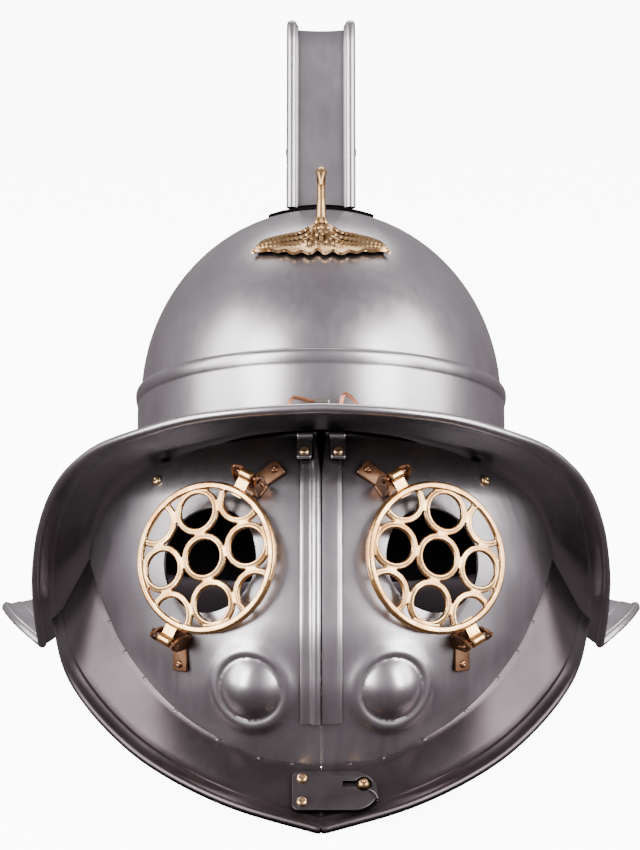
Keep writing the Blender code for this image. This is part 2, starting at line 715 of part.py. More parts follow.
def make_collar(side, word, steel, hinge):
    """The flared sheet under a face plate, with a rolled rim."""
    count = 15
    sections = []
    for i in range(count):
        along = i / (count - 1)
        root = collar_root(along)
        rim = collar_rim(along)
        step = 0.01
        before = collar_rim(max(along - step, 0))
        after = collar_rim(min(along + step, 1))
        run = (after - before).normalized()
        reach = (rim - root)
        way = (reach - run * reach.dot(run)).normalized()
        face = way.cross(run).normalized()
        if face.y > 0:
            face.negate()
        root = root + reach.normalized() * 2 * GAP
        neck = rim - reach.normalized() * BEAD_RADIUS
        shift = Vector((FACE_SPLIT / 2, 0, 0)) if i == 0 else Vector((0, 0, 0))
        section = [root, root.lerp(neck, 0.5), neck + face * SHEET * 0.1]
        for turn in (105, 45, -15, -75, -135):
            a = math.radians(turn)
            section.append(rim + (way * math.cos(a) + face * math.sin(a)) * BEAD_RADIUS)
        section += [neck - face * SHEET, root.lerp(neck, 0.5) - face * SHEET, root - face * SHEET]
        points = []
        for point in section:
            point = lift_to_floor(point + shift)
            points.append(Vector((side * max(point.x, FACE_SPLIT / 2), point.y, point.z)))
        sections.append(points)
    return add_object("collar_" + word, skin(sections), steel, hinge)


def make_strip(side, word, steel, hinge):
    """The strip along a face plate's centre edge, on the facets of its outside."""
    face = face_grid(side)
    span = face[0][0].z - face[-1][0].z
    first = STRIP_TOP / span * FACE_ROWS
    last = FACE_ROWS - (STRIP_BOTTOM_MARGIN / span) * FACE_ROWS
    rows = [first] + [i for i in range(1, FACE_ROWS) if first < i < last] + [last]
    grid = []
    for row in rows:
        i = min(int(row), FACE_ROWS - 1)
        line = []
        for j in (0, 1):
            point = face[i][j].lerp(face[i + 1][j], row - i)
            out = face_point(abs(point.x), point.z)[1]
            line.append(point + Vector((side * out.x, out.y, out.z)) * (2 * GAP + SHEET))
        grid.append(line)
    add_object("seam_strip_" + word, plate(grid, SHEET, Vector((0, 0, EYE_Z))), steel, hinge)


def make_tab(side, word, steel, brass, hinge):
    """A strap with a knuckle under the brim, riveted over the top of the centre strip."""
    lift = 2 * SHEET + 4 * GAP
    point, out = face_point(TAB_X, face_edge(FACE_UPPER, 0) - TAB_DROP)
    out = Vector((side * out.x, out.y, out.z))
    place = frame_at(Vector((side * point.x, point.y, point.z)) + out * lift, out)
    strap = box(TAB_WIDTH, TAB_HEIGHT, SHEET)
    barrel = tube([Vector((-TAB_WIDTH / 2, TAB_HEIGHT / 2 + SHEET, SHEET)),
                   Vector((TAB_WIDTH / 2, TAB_HEIGHT / 2 + SHEET, SHEET))],
                  [TAB_KNUCKLE] * 2, 10)
    bmesh.ops.transform(strap, matrix=place, verts=strap.verts)
    bmesh.ops.transform(barrel, matrix=place, verts=barrel.verts)
    piece = add_object("tab_" + word, strap, steel, hinge)
    combine(piece, add_object("tab_knuckle_" + word, barrel, steel, hinge, cutter=True), "UNION")
    head = rivet_mesh(RIVET_RADIUS, RIVET_RISE)
    seat = place @ Matrix.Translation((0, -TAB_HEIGHT * 0.2, SHEET + GAP))
    bmesh.ops.transform(head, matrix=seat, verts=head.verts)
    add_object("tab_rivet_" + word, head, brass, hinge)


def box(width, height, thickness):
    """A flat bar centred on x and y that stands on z = 0."""
    return prism([(-width / 2, -height / 2), (width / 2, -height / 2),
                  (width / 2, height / 2), (-width / 2, height / 2)], 0, thickness)


def arc(centre, radius, start, end, steps):
    """Points on a circle from one point to another, the short way, without the last."""
    first = math.atan2(start[1] - centre[1], start[0] - centre[0])
    last = math.atan2(end[1] - centre[1], end[0] - centre[0])
    sweep = (last - first + math.pi) % (2 * math.pi) - math.pi
    return [(centre[0] + radius * math.cos(first + sweep * i / steps),
             centre[1] + radius * math.sin(first + sweep * i / steps)) for i in range(steps)]


def meet(first, first_radius, second, second_radius):
    """The two points where two circles meet, the one to the left of the line between them first."""
    dx = second[0] - first[0]
    dy = second[1] - first[1]
    apart = math.hypot(dx, dy)
    along = (first_radius ** 2 - second_radius ** 2 + apart ** 2) / (2 * apart)
    aside = math.sqrt(max(first_radius ** 2 - along ** 2, 0.0))
    middle = (first[0] + dx * along / apart, first[1] + dy * along / apart)
    return [(middle[0] - sign * dy * aside / apart, middle[1] + sign * dx * aside / apart)
            for sign in (1, -1)]


def grille_gaps():
    """Outlines of the grille's gaps: round holes, half moons, diamonds and small triangles."""
    spacing = GRILLE_SPACING
    band = GRILLE_HOLE + GRILLE_BAND
    gaps = []
    for cx, cy in ((0, 0), (1, 0), (0, 1), (-1, 0), (0, -1)):
        angles = [2 * math.pi * i / 12 for i in range(12)]
        gaps.append([(cx * spacing + GRILLE_HOLE * math.cos(a),
                      cy * spacing + GRILLE_HOLE * math.sin(a)) for a in angles])
    for sx in (-1, 1):
        for sy in (-1, 1):
            corner = (sx * spacing, sy * spacing)
            tips = meet((0, 0), GRILLE_FIELD, corner, GRILLE_HOLE)
            diagonal = GRILLE_HOLE * math.sqrt(0.5)
            inner = (corner[0] - sx * diagonal, corner[1] - sy * diagonal)
            gaps.append(arc(corner, GRILLE_HOLE, tips[0], inner, 3)
                        + arc(corner, GRILLE_HOLE, inner, tips[1], 3)
                        + arc((0, 0), GRILLE_FIELD, tips[1], tips[0], 4))
            ring = [(0, 0), (sx * spacing, 0), corner, (0, sy * spacing)]
            waist = math.sqrt(band ** 2 - spacing ** 2 / 4)
            half = spacing / 2
            tips = [(sx * half, sy * waist), (sx * (spacing - waist), sy * half),
                    (sx * half, sy * (spacing - waist)), (sx * waist, sy * half)]
            diamond = []
            for i, centre in enumerate((ring[1], ring[2], ring[3], ring[0])):
                diamond += arc(centre, band, tips[i], tips[(i + 1) % 4], 2)
            gaps.append(diamond)
            for edge in ((sx * spacing, 0), (0, sy * spacing)):
                toward = Vector(edge).normalized()
                aside = Vector(corner) - Vector(edge)
                tip = Vector(edge) + aside / 2 + toward * waist
                by_edge = max(meet((0, 0), GRILLE_FIELD, edge, band),
                              key=lambda p: Vector(p).dot(aside))
                by_corner = max(meet((0, 0), GRILLE_FIELD, corner, band),
                                key=lambda p: Vector(p).dot(toward))
                gaps.append(arc(edge, band, tip, by_edge, 2)
                            + arc((0, 0), GRILLE_FIELD, by_edge, by_corner, 2)
                            + arc(corner, band, by_corner, tip, 2))
    return gaps


def grille_place(side):
    point = Vector((side * EYE_X, face_y(EYE_X, EYE_Z) - GRILLE_STANDOFF, EYE_Z))
    turn = math.radians(EYE_TURN)
    return frame_at(point, Vector((side * math.sin(turn), -math.cos(turn), 0)))


def lug_direction(side, word):
    """The way from a grille's centre to a lug, in its own plane, with x to the viewer's right."""
    angle = math.radians(LUG_ANGLE)
    way = Vector((-side * math.cos(angle), math.sin(angle), 0))
    return way if word == "upper" else -way


def make_grille(side, word, brass, hinge):
    """A round domed plate with a raised ring, pierced in a pattern, with a lug at each bracket."""
    place = grille_place(side)
    half = GRILLE_SHEET / 2
    ring = GRILLE_RING_HEIGHT / 2
    edge = GRILLE_RADIUS - GRILLE_FIELD
    profile = [(GRILLE_FIELD + 0.15 * edge, half), (GRILLE_FIELD + 0.4 * edge, ring),
               (GRILLE_RADIUS - 0.3 * edge, ring), (GRILLE_RADIUS, ring * 0.4),
               (GRILLE_RADIUS, -ring * 0.4), (GRILLE_RADIUS - 0.3 * edge, -half)]
    angles = [2 * math.pi * i / 36 for i in range(36)]
    disc = skin([[Vector((radius * math.cos(a), radius * math.sin(a), height)) for a in angles]
                 for radius, height in profile])
    bmesh.ops.transform(disc, matrix=place, verts=disc.verts)
    piece = add_object("grille_" + word, disc, brass, hinge)
    spin = Matrix.Rotation(math.radians(-side * GRILLE_TURN), 4, "Z")
    reach = GRILLE_RING_HEIGHT
    holes = merge([prism(outline, -reach, reach) for outline in grille_gaps()])
    bmesh.ops.transform(holes, matrix=place @ spin, verts=holes.verts)
    cutter = add_object("grille_cutter_" + word, holes, brass, hinge, cutter=True)
    combine(piece, cutter, "DIFFERENCE")
    for where in ("upper", "lower"):
        way = lug_direction(side, where)
        across = Vector((-way.y, way.x, 0))
        start = GRILLE_RADIUS - LUG_ROOT
        half_tongue = LUG_WIDTH * 0.42
        tongue = prism([(-half_tongue, start), (half_tongue, start),
                        (half_tongue, LUG_CENTRE), (-half_tongue, LUG_CENTRE)],
                       -LUG_BARREL / 2, LUG_BARREL / 2)
        turn = Matrix((across, way, across.cross(way))).transposed().to_4x4()
        bmesh.ops.transform(tongue, matrix=place @ turn, verts=tongue.verts)
        tongue = add_object("grille_tongue_%s_%s" % (where, word), tongue, brass, hinge,
                            cutter=True)
        combine(piece, tongue, "UNION")
        ends = [place @ (way * LUG_CENTRE + across * (LUG_WIDTH / 2 * sign)) for sign in (-1, 1)]
        barrel = add_object("grille_barrel_%s_%s" % (where, word),
                            tube(ends, [LUG_BARREL] * 2, 12), brass, hinge, cutter=True)
        combine(piece, barrel, "UNION")


def make_brackets(side, word, brass, hinge):
    """Brackets riveted to the face plate, each with two ears beside a lug of the grille."""
    place = grille_place(side)
    for where in ("upper", "lower"):
        way = lug_direction(side, where)
        centre = place @ (way * LUG_CENTRE)
        point, out = face_point(abs(centre.x), centre.z)
        for _ in range(6):
            out = Vector((side * out.x, out.y, out.z)) if side * out.x < 0 else out
            foot = centre - out * (centre - Vector((side * abs(point.x), point.y, point.z))).dot(out)
            point, out = face_point(abs(foot.x), foot.z)
            out = Vector((side * abs(out.x), out.y, out.z))
        point = Vector((side * abs(point.x), point.y, point.z))
        radial = (place.to_3x3() @ way).normalized()
        stand = (centre - point).dot(out) - GAP
        seat = frame_at(point + out * GAP, out, radial)
        inner = LUG_WIDTH / 2 + GAP
        outer = inner + EAR_WIDTH
        high = stand + EAR_OVERHANG
        half = BRACKET_WIDTH / 2
        outline = [(-half, 0), (half, 0), (half, SHEET), (outer, SHEET), (outer, high),
                   (inner, high), (inner, SHEET), (-inner, SHEET), (-inner, high),
                   (-outer, high), (-outer, SHEET), (-half, SHEET)]
        block = prism(outline, -EAR_LENGTH / 2, EAR_LENGTH / 2)
        upright = Matrix(((1, 0, 0, 0), (0, 0, -1, 0), (0, 1, 0, 0), (0, 0, 0, 1)))
        bmesh.ops.transform(block, matrix=seat @ upright, verts=block.verts)
        add_object("grille_bracket_%s_%s" % (where, word), block, brass, hinge)


def hinge_place(side):
    """A placing on a hinge's axis: x along it, away from the centre, and z out of the face."""
    edge = []
    for step in (-MM, 0, MM):
        x = HINGE_X + step
        edge.append(Vector((x, face_y(x, face_edge(FACE_UPPER, x)), face_edge(FACE_UPPER, x))))
    along = (edge[2] - edge[0]).normalized()
    out = face_point(edge[1].x, edge[1].z)[1]
    out = (out - along * out.dot(along)).normalized()
    centre = edge[1] - out * (SHEET + LEAF_GAP + HINGE_BARREL)
    centre, along, out = [Vector((side * v.x, v.y, v.z)) for v in (centre, along, out)]
    up = out.cross(along) * side
    return centre, along, out, up


def make_hinges(side, word, steel, brass, frame, hinge):
    """A leaf with two knuckles behind the face plate, and a strap between them from the brim."""
    centre, along, out, up = hinge_place(side)
    seat = Matrix((along * side, up, out)).transposed().to_4x4()
    seat = Matrix.Translation(centre) @ seat
    half = HINGE_WIDTH / 2
    inner = HINGE_KNUCKLE / 2 + GAP
    notch = -HINGE_BARREL - 2 * GAP
    outline = [(-half, -HINGE_LEAF), (half, -HINGE_LEAF), (half, 0), (inner, 0), (inner, notch),
               (-inner, notch), (-inner, 0), (-half, 0)]
    leaf = prism(outline, HINGE_BARREL - SHEET, HINGE_BARREL)
    bmesh.ops.transform(leaf, matrix=seat, verts=leaf.verts)
    piece = add_object("hinge_leaf_" + word, leaf, steel, hinge)
    reach = half + GAP
    for sign, name in ((-1, "inner"), (1, "outer")):
        ends = [seat @ Vector((sign * distance, 0, 0)) for distance in (inner, reach)]
        knuckle = add_object("hinge_knuckle_%s_%s" % (name, word),
                             tube(ends, [HINGE_BARREL] * 2, 10), steel, hinge, cutter=True)
        combine(piece, knuckle, "UNION")
    head = rivet_mesh(RIVET_RADIUS, RIVET_RISE)
    spot, way = face_point(HINGE_X, face_edge(FACE_UPPER, HINGE_X) - HINGE_RIVET_DROP)
    way = Vector((side * way.x, way.y, way.z))
    spot = frame_at(Vector((side * spot.x, spot.y, spot.z)) + way * GAP, way)
    bmesh.ops.transform(head, matrix=spot, verts=head.verts)
    add_object("hinge_rivet_" + word, head, brass, hinge)
    ends = [seat @ Vector((sign * HINGE_KNUCKLE / 2, 0, 0)) for sign in (-1, 1)]
    piece = add_object("hinge_bracket_" + word, tube(ends, [HINGE_BARREL] * 2, 10), steel, frame)
    top = brim_under(centre.x, centre.y)
    slope_x = (brim_under(centre.x + MM, centre.y).z - top.z) / MM
    slope_y = (brim_under(centre.x, centre.y + MM).z - top.z) / MM
    down = Vector((slope_x, slope_y, -1)).normalized()
    behind = brim_under(centre.x - out.x * HINGE_SETBACK, centre.y - out.y * HINGE_SETBACK)
    flat = frame_at(behind + down * 3 * GAP, down, along)
    foot = box(HINGE_FOOT, HINGE_FOOT, SHEET)
    bmesh.ops.transform(foot, matrix=flat, verts=foot.verts)
    foot = add_object("hinge_foot_" + word, foot, steel, frame, cutter=True)
    rise = (top - centre).length - 3 * GAP - SHEET / 2
    strap = prism([(-HINGE_KNUCKLE * 0.33, 0), (HINGE_KNUCKLE * 0.33, 0),
                   (HINGE_KNUCKLE * 0.33, rise), (-HINGE_KNUCKLE * 0.33, rise)],
                  -SHEET / 2, SHEET / 2)
    upright = frame_at(centre, along.cross(Vector((0, 0, 1))) * side, Vector((0, 0, 1)))
    bmesh.ops.transform(strap, matrix=upright, verts=strap.verts)
    strap = add_object("hinge_strap_" + word, strap, steel, frame, cutter=True)
    combine(piece, strap, "UNION")
    combine(piece, foot, "UNION")


def make_wire(word, middle, span, rise, copper, frame):
    """A copper wire that stands in a flat bow on top of the brim."""
    path = []
    for share, height in ((-0.5, 0), (-0.3, rise), (0.3, rise), (0.5, 0)):
        seat = brim_top(middle + span * share, WIRE_Y)
        path.append(seat + Vector((0, 0, WIRE_RADIUS + GAP + height)))
    add_object("wire_" + word, tube(path, [WIRE_RADIUS] * len(path), 6), copper, frame)


def brim_middle(x, y):
    """The middle of the brim's sheet near the front, over a place (x, y)."""
    azimuth = math.degrees(math.atan2(x / (BOWL_HALF_WIDTH + WALL_OFFSET),
                                      -y / (BOWL_FRONT + WALL_OFFSET)))
    for _ in range(8):
        corner, rim, out = brim_section(azimuth)
        aside = Vector((x, y, 0)).cross(out).z - Vector((corner.x, corner.y, 0)).cross(out).z
        azimuth -= math.degrees(aside / Vector((x, y, 0)).length)
    corner, rim, out = brim_section(azimuth)
    share = (Vector((x, y, 0)) - Vector((corner.x, corner.y, 0))).dot(out)
    share /= (rim - corner).dot(out)
    height = corner.z + (rim.z - corner.z) * share + BRIM_CROWN * math.sin(math.pi * share)
    return Vector((x, y, height))


def brim_top(x, y):
    return brim_middle(x, y) + Vector((0, 0, SHEET / 2))


def brim_under(x, y):
    return brim_middle(x, y) - Vector((0, 0, SHEET / 2))


def make_clasp(steel, brass, left_hinge, right_hinge):
    """The keyhole plate on the left half, with its rivets, and the stud on the right half."""
    root = collar_root(0)
    rim = collar_rim(0)
    down = (rim - root).normalized()
    out = Vector((0, down.z, -down.y))
    seat = frame_at(root.lerp(rim, CLASP_PLACE) + out * CLASP_LIFT, out, -down)
    half = CLASP_HEIGHT / 2
    stud_y = half * 0.35
    outline = [(CLASP_LEFT, -half), (CLASP_RIGHT - half, -half)]
    outline += [(CLASP_RIGHT - half + half * math.sin(a), -half * math.cos(a))
                for a in (math.radians(22.5 * i) for i in range(1, 8))]
    outline += [(CLASP_RIGHT - half, half), (CLASP_LEFT, half)]
    body = prism(outline, 0, SHEET)
    slot = KEYHOLE_SLOT / 2
    start = math.asin(slot / KEYHOLE_RADIUS)
    turn = 2 * (math.pi - start)
    keyhole = [(STUD_X + KEYHOLE_RADIUS * math.cos(math.pi - start - turn * i / 14),
                stud_y + KEYHOLE_RADIUS * math.sin(math.pi - start - turn * i / 14))
               for i in range(15)]
    slot_end = STUD_X - KEYHOLE_LENGTH
    keyhole += [(slot_end, stud_y - slot), (slot_end, stud_y + slot)]
    hole = prism(keyhole, -SHEET, 2 * SHEET)
    bmesh.ops.transform(body, matrix=seat, verts=body.verts)
    bmesh.ops.transform(hole, matrix=seat, verts=hole.verts)
    piece = add_object("clasp_plate", body, steel, left_hinge)
    combine(piece, add_object("keyhole_cutter", hole, steel, left_hinge, cutter=True), "DIFFERENCE")
    for sign, word in ((1, "upper"), (-1, "lower")):
        head = rivet_mesh(RIVET_RADIUS, RIVET_RISE)
        spot = seat @ Matrix.Translation((CLASP_RIVET_X, sign * CLASP_RIVET_SPAN / 2, SHEET + GAP))
        bmesh.ops.transform(head, matrix=spot, verts=head.verts)
        add_object("clasp_rivet_" + word, head, brass, left_hinge)
    stud = rivet_mesh(STUD_RADIUS, SHEET + STUD_RISE)
    spot = seat @ Matrix.Translation((STUD_X, stud_y, GAP))
    bmesh.ops.transform(stud, matrix=spot, verts=stud.verts)
    add_object("clasp_stud", stud, brass, right_hinge)


def build():
    for item in list(bpy.data.objects):
        bpy.data.objects.remove(item, do_unlink=True)
    steel = material("polished_steel", (0.30, 0.29, 0.31), 1.0, 0.28)
    dark = material("dark_steel", (0.06, 0.055, 0.055), 1.0, 0.45)
    brass = material("brass", (0.55, 0.42, 0.27), 1.0, 0.35)
    bronze = material("antique_brass", (0.42, 0.30, 0.16), 1.0, 0.45)
    copper = material("copper", (0.62, 0.33, 0.22), 1.0, 0.4)
    frame = add_empty("helmet_frame", (0, 0, 0))
    frame.rotation_euler = (-TILT, 0, 0)
    make_shell(steel, frame)
    make_crest(steel, dark, brass, frame)
    make_ornament(bronze, frame)
    hinges = {}
    for side, word in ((-1, "left"), (1, "right")):
        hinges[word] = add_empty("visor_hinge_" + word, hinge_place(side)[0], frame)
        make_visor(side, word, steel, hinges[word])
        make_collar(side, word, steel, hinges[word])
        make_strip(side, word, steel, hinges[word])
        make_tab(side, word, steel, brass, hinges[word])
        make_grille(side, word, brass, hinges[word])
        make_brackets(side, word, brass, hinges[word])
        make_hinges(side, word, steel, brass, frame, hinges[word])
    make_wire("left", LEFT_WIRE_X, LEFT_WIRE_SPAN, LEFT_WIRE_RISE, copper, frame)
    make_wire("right", RIGHT_WIRE_X, RIGHT_WIRE_SPAN, RIGHT_WIRE_RISE, copper, frame)
    make_clasp(steel, brass, hinges["left"], hinges["right"])
    settle(frame)


def settle(frame):
    """Stand the tilted helmet on the floor, with the origin under the middle of its depth."""
    bpy.context.view_layer.update()
    graph = bpy.context.evaluated_depsgraph_get()
    depths = []
    heights = []
    for piece in bpy.data.objects:
        if piece.type != "MESH" or piece.hide_render:
            continue
        mesh = piece.evaluated_get(graph).to_mesh()
        for vertex in mesh.vertices:
            place = piece.matrix_world @ vertex.co
            depths.append(place.y)
            heights.append(place.z)
    frame.location = (0, -(min(depths) + max(depths)) / 2, -min(heights))


build()
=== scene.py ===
"""Gladiator helmet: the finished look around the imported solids."""
import math

import bmesh
import bpy
from mathutils import Matrix, Vector


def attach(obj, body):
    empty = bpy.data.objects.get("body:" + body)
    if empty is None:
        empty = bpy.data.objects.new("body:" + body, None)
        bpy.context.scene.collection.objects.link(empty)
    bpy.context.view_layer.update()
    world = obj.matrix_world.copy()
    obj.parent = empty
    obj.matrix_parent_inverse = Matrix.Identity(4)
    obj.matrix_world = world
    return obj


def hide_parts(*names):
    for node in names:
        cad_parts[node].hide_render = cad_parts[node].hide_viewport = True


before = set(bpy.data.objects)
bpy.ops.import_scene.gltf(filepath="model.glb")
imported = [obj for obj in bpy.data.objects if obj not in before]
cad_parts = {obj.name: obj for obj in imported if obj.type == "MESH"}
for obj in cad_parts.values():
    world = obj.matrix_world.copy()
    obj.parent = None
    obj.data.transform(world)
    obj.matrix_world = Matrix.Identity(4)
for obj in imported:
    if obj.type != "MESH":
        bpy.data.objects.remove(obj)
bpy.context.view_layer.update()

# Camera: a long lens in front of the helmet, a little above it, with the face guard towards it.
# Its place and lens give the outline that the photograph shows.
mm = 0.001
camera_place = Vector((-0.6, -1525.5, 484.4)) * mm
camera_dip = math.radians(11.38)


def add_object(name, data):
    """An object in the scene that carries the given data."""
    item = bpy.data.objects.new(name, data)
    bpy.context.collection.objects.link(item)
    return item


camera = add_object("camera", bpy.data.cameras.new("camera"))
camera.location = camera_place
camera.rotation_euler = (math.radians(90) - camera_dip, 0, 0)
camera.data.lens = 116.85
camera.data.clip_end = 40
bpy.context.scene.camera = camera


# Studio: a wide white floor, a strong soft light on each side with a weaker one beyond it, and one
# over the back. The floor isn't mirrored in the steel, which shows the grey room instead.
def linear(code):
    """A colour written as an sRGB hex code, as the linear one that a shader takes."""
    parts = [int(code[i:i + 2], 16) / 255 for i in (1, 3, 5)]
    return (*[p / 12.92 if p <= 0.04045 else ((p + 0.055) / 1.055) ** 2.4 for p in parts], 1)


def adjust(item, **settings):
    for key, value in settings.items():
        setattr(item, key, value)


def add_node(tree, kind, sockets, **settings):
    """A node with its settings, and its sockets set to values or joined to other nodes' outputs."""
    fresh = tree.nodes.new("ShaderNode" + kind)
    adjust(fresh, **settings)
    for key, value in sockets.items():
        if isinstance(value, bpy.types.NodeSocket):
            tree.links.new(value, fresh.inputs[key])
        else:
            fresh.inputs[key].default_value = value
    return fresh


def add_ramp(tree, factor, stops):
    """A colour ramp on a factor, from (place, hex code) stops."""
    ramp = add_node(tree, "ValToRGB", {"Fac": factor})
    elements = ramp.color_ramp.elements
    while len(elements) < len(stops):
        elements.new(0.5)
    for element, (place, shade) in zip(elements, stops):
        element.position = place
        element.color = linear(shade)
    return ramp.outputs["Color"]


def mesh_from(name, bm):
    """Finished mesh data from a mesh under construction, which is freed."""
    mesh = bpy.data.meshes.new(name)
    bm.to_mesh(mesh)
    bm.free()
    return mesh


floor_radius = 16
floor_white = linear("#f4f3f2")
floor_glow = 11
bm = bmesh.new()
bmesh.ops.create_circle(bm, cap_ends=True, segments=96, radius=floor_radius)
floor = add_object("studio_floor", mesh_from("studio_floor", bm))
paint = bpy.data.materials.new("white_floor_paint")
paint.use_nodes = True
shader = paint.node_tree.nodes["Principled BSDF"]
shader.inputs["Base Color"].default_value = floor_white
shader.inputs["Roughness"].default_value = 0.9
shader.inputs["Emission Color"].default_value = floor_white
shader.inputs["Emission Strength"].default_value = floor_glow
floor.data.materials.append(paint)
floor.visible_glossy = False

world = bpy.data.worlds.new("dim_room")
bpy.context.scene.world = world
world.use_nodes = True
tree = world.node_tree
height = add_node(tree, "SeparateXYZ", {"Vector": add_node(tree, "TexCoord", {}).outputs["Generated"]})
level = add_node(tree, "MapRange", {"Value": height.outputs["Z"], "From Min": -1, "From Max": 1})
room = add_ramp(tree, level.outputs["Result"],
                [(0.0, "#564f52"), (0.36, "#6f676b"), (0.50, "#9a9498"), (0.64, "#b4afb3"),
                 (0.82, "#b4afb3"), (1.0, "#9b969a")])
tree.links.new(room, tree.nodes["Background"].inputs["Color"])
tree.nodes["Background"].inputs["Strength"].default_value = 1.0

# name, place in metres, width, height, watts
lights = [
    ("left_softbox", (-1.40, -1.28, 0.95), 0.8, 1.5, 50),
    ("left_fill", (-1.84, -0.40, 0.95), 0.9, 1.5, 26),
    ("right_softbox", (1.44, -1.24, 0.95), 0.8, 1.5, 46),
    ("right_fill", (1.84, -0.34, 0.95), 0.9, 1.5, 26),
    ("back_softbox", (0.0, 1.1, 1.7), 1.6, 0.6, 16),
]
aim = Vector((0, 0, 0.2))
for name, place, width, tall, power in lights:
    lamp = bpy.data.lights.new(name, "AREA")
    adjust(lamp, shape="RECTANGLE", size=width, size_y=tall, energy=power)
    light = add_object(name, lamp)
    light.location = place
    light.rotation_euler = (aim - Vector(place)).to_track_quat("-Z", "Y").to_euler()

# Shell: the dome, its raised rib, the wall, the brim and the neck guard are one sheet of steel,
# raised and polished by hand. The rim is rolled over a wire.
sheet = 1.6 * mm
bead = 2.5 * mm
bowl_half_width = 104 * mm
bowl_front = 123 * mm
bowl_back = 118 * mm
dome_rise = 110 * mm
wall_offset = 2 * mm
wall_drop = 112 * mm
wall_corner = 7 * mm
rib_width = 9 * mm
rib_rise = 2.4 * mm
brim_reach = 60 * mm
brim_drop = 140 * mm
brim_crown = 3 * mm
border = 6.5 * mm
border_rise = 0.5 * mm
rear_rim_drop = 120 * mm
collar_front = 143 * mm
collar_bottom = 253 * mm
foot_flat = 0.4 * mm

# The helmet is drawn upright, from the bowl's axis at the height of the rib. It then leans back,
# to rest on the collar's front and on the neck guard's back.
rest_front = Vector((0, -collar_front, -collar_bottom - bead))
rest_back = Vector((0, bowl_back + wall_offset + brim_reach, -rear_rim_drop - bead))
lean = math.atan2(rest_back.z - rest_front.z, rest_back.y - rest_front.y)
rest_up = Vector((0, -math.sin(lean), math.cos(lean)))
middle_to_bowl = 45.65 * mm
upright = (Matrix.Translation((0, middle_to_bowl, foot_flat - rest_front.dot(rest_up)))
           @ Matrix.Rotation(-lean, 4, "X"))


def rows_of(columns, *rows):
    """A table with the named columns."""
    return [dict(zip(columns.split(), row)) for row in rows]


# The brim by azimuth from the front: shares of wall_drop, brim_drop and brim_reach. The first
# table runs to the cusp beside each ear, and the second from there to the back.
front_brim = rows_of("azimuth wall rim reach",
                     (0, 0.375, 0.293, 1.00), (20, 0.393, 0.307, 0.99), (35, 0.441, 0.343, 0.98),
                     (44, 0.496, 0.366, 0.97), (54, 0.580, 0.424, 0.97), (62, 0.664, 0.493, 0.96),
                     (70, 0.750, 0.607, 0.96), (76, 0.830, 0.714, 0.95), (84, 0.929, 0.829, 0.93),
                     (90, 0.991, 0.943, 0.91), (93, 1.000, 1.000, 0.90))
rear_brim = front_brim[-1:] + rows_of("azimuth wall rim reach",
                                      (98, 0.980, 0.893, 1.20), (105, 0.946, 0.807, 1.42),
                                      (120, 0.893, 0.821, 1.32), (150, 0.875, 0.900, 1.07),
                                      (180, 0.875, 0.857, 1.00))
cusp = front_brim[-1]["azimuth"]


def read(table, key, column, value):
    """A smooth curve through a table's column that doesn't overshoot its rows."""
    keys = [row[key] for row in table]
    data = [row[column] for row in table]
    if value <= keys[0]:
        return data[0]
    if value >= keys[-1]:
        return data[-1]
    steps = [keys[i + 1] - keys[i] for i in range(len(keys) - 1)]
    slopes = [(data[i + 1] - data[i]) / steps[i] for i in range(len(steps))]
    tangents = [slopes[0]]
    for before, after in zip(slopes, slopes[1:]):
        tangents.append(0.0 if before * after <= 0 else 2 * before * after / (before + after))
    tangents.append(slopes[-1])
    i = max(index for index in range(len(steps)) if keys[index] <= value)
    t = (value - keys[i]) / steps[i]
    return ((2 * t ** 3 - 3 * t ** 2 + 1) * data[i]
            + (t ** 3 - 2 * t ** 2 + t) * steps[i] * tangents[i]
            + (3 * t ** 2 - 2 * t ** 3) * data[i + 1]
            + (t ** 3 - t ** 2) * steps[i] * tangents[i + 1])


def bowl_point(azimuth, polar):
    """A point of the dome: azimuth from the front, polar angle down from the crown."""
    depth = bowl_front if math.cos(azimuth) > 0 else bowl_back
    return Vector((bowl_half_width * math.sin(azimuth) * math.sin(polar),
                   -depth * math.cos(azimuth) * math.sin(polar),
                   dome_rise * math.cos(polar)))


def brim_section(azimuth):
    """The wall's lower corner, the rim and the way out, for an azimuth in degrees."""
    turn = abs(azimuth)
    table = front_brim if turn <= cusp else rear_brim
    reach = brim_reach * read(table, "azimuth", "reach", turn)
    angle = math.radians(azimuth)
    half_width = bowl_half_width + wall_offset
    depth = (bowl_front if turn < 90 else bowl_back) + wall_offset
    corner = Vector((half_width * math.sin(angle), -depth * math.cos(angle),
                     -wall_drop * read(table, "azimuth", "wall", turn)))
    out = Vector((math.sin(angle) / half_width, -math.cos(angle) / depth, 0)).normalized()
    rim = corner + out * reach
    rim.z = -brim_drop * read(table, "azimuth", "rim", turn)
    return corner, rim, out


def bend(start, through, end, steps):
    """Points of a soft bend from start towards end, without its last point."""
    points = []
    for i in range(steps):
        t = i / steps
        points.append(start.lerp(through, t).lerp(through.lerp(end, t), t))
    return points


def lift_to_floor(point):
    return point + rest_up * max(0.0, foot_flat - (point - rest_front).dot(rest_up))


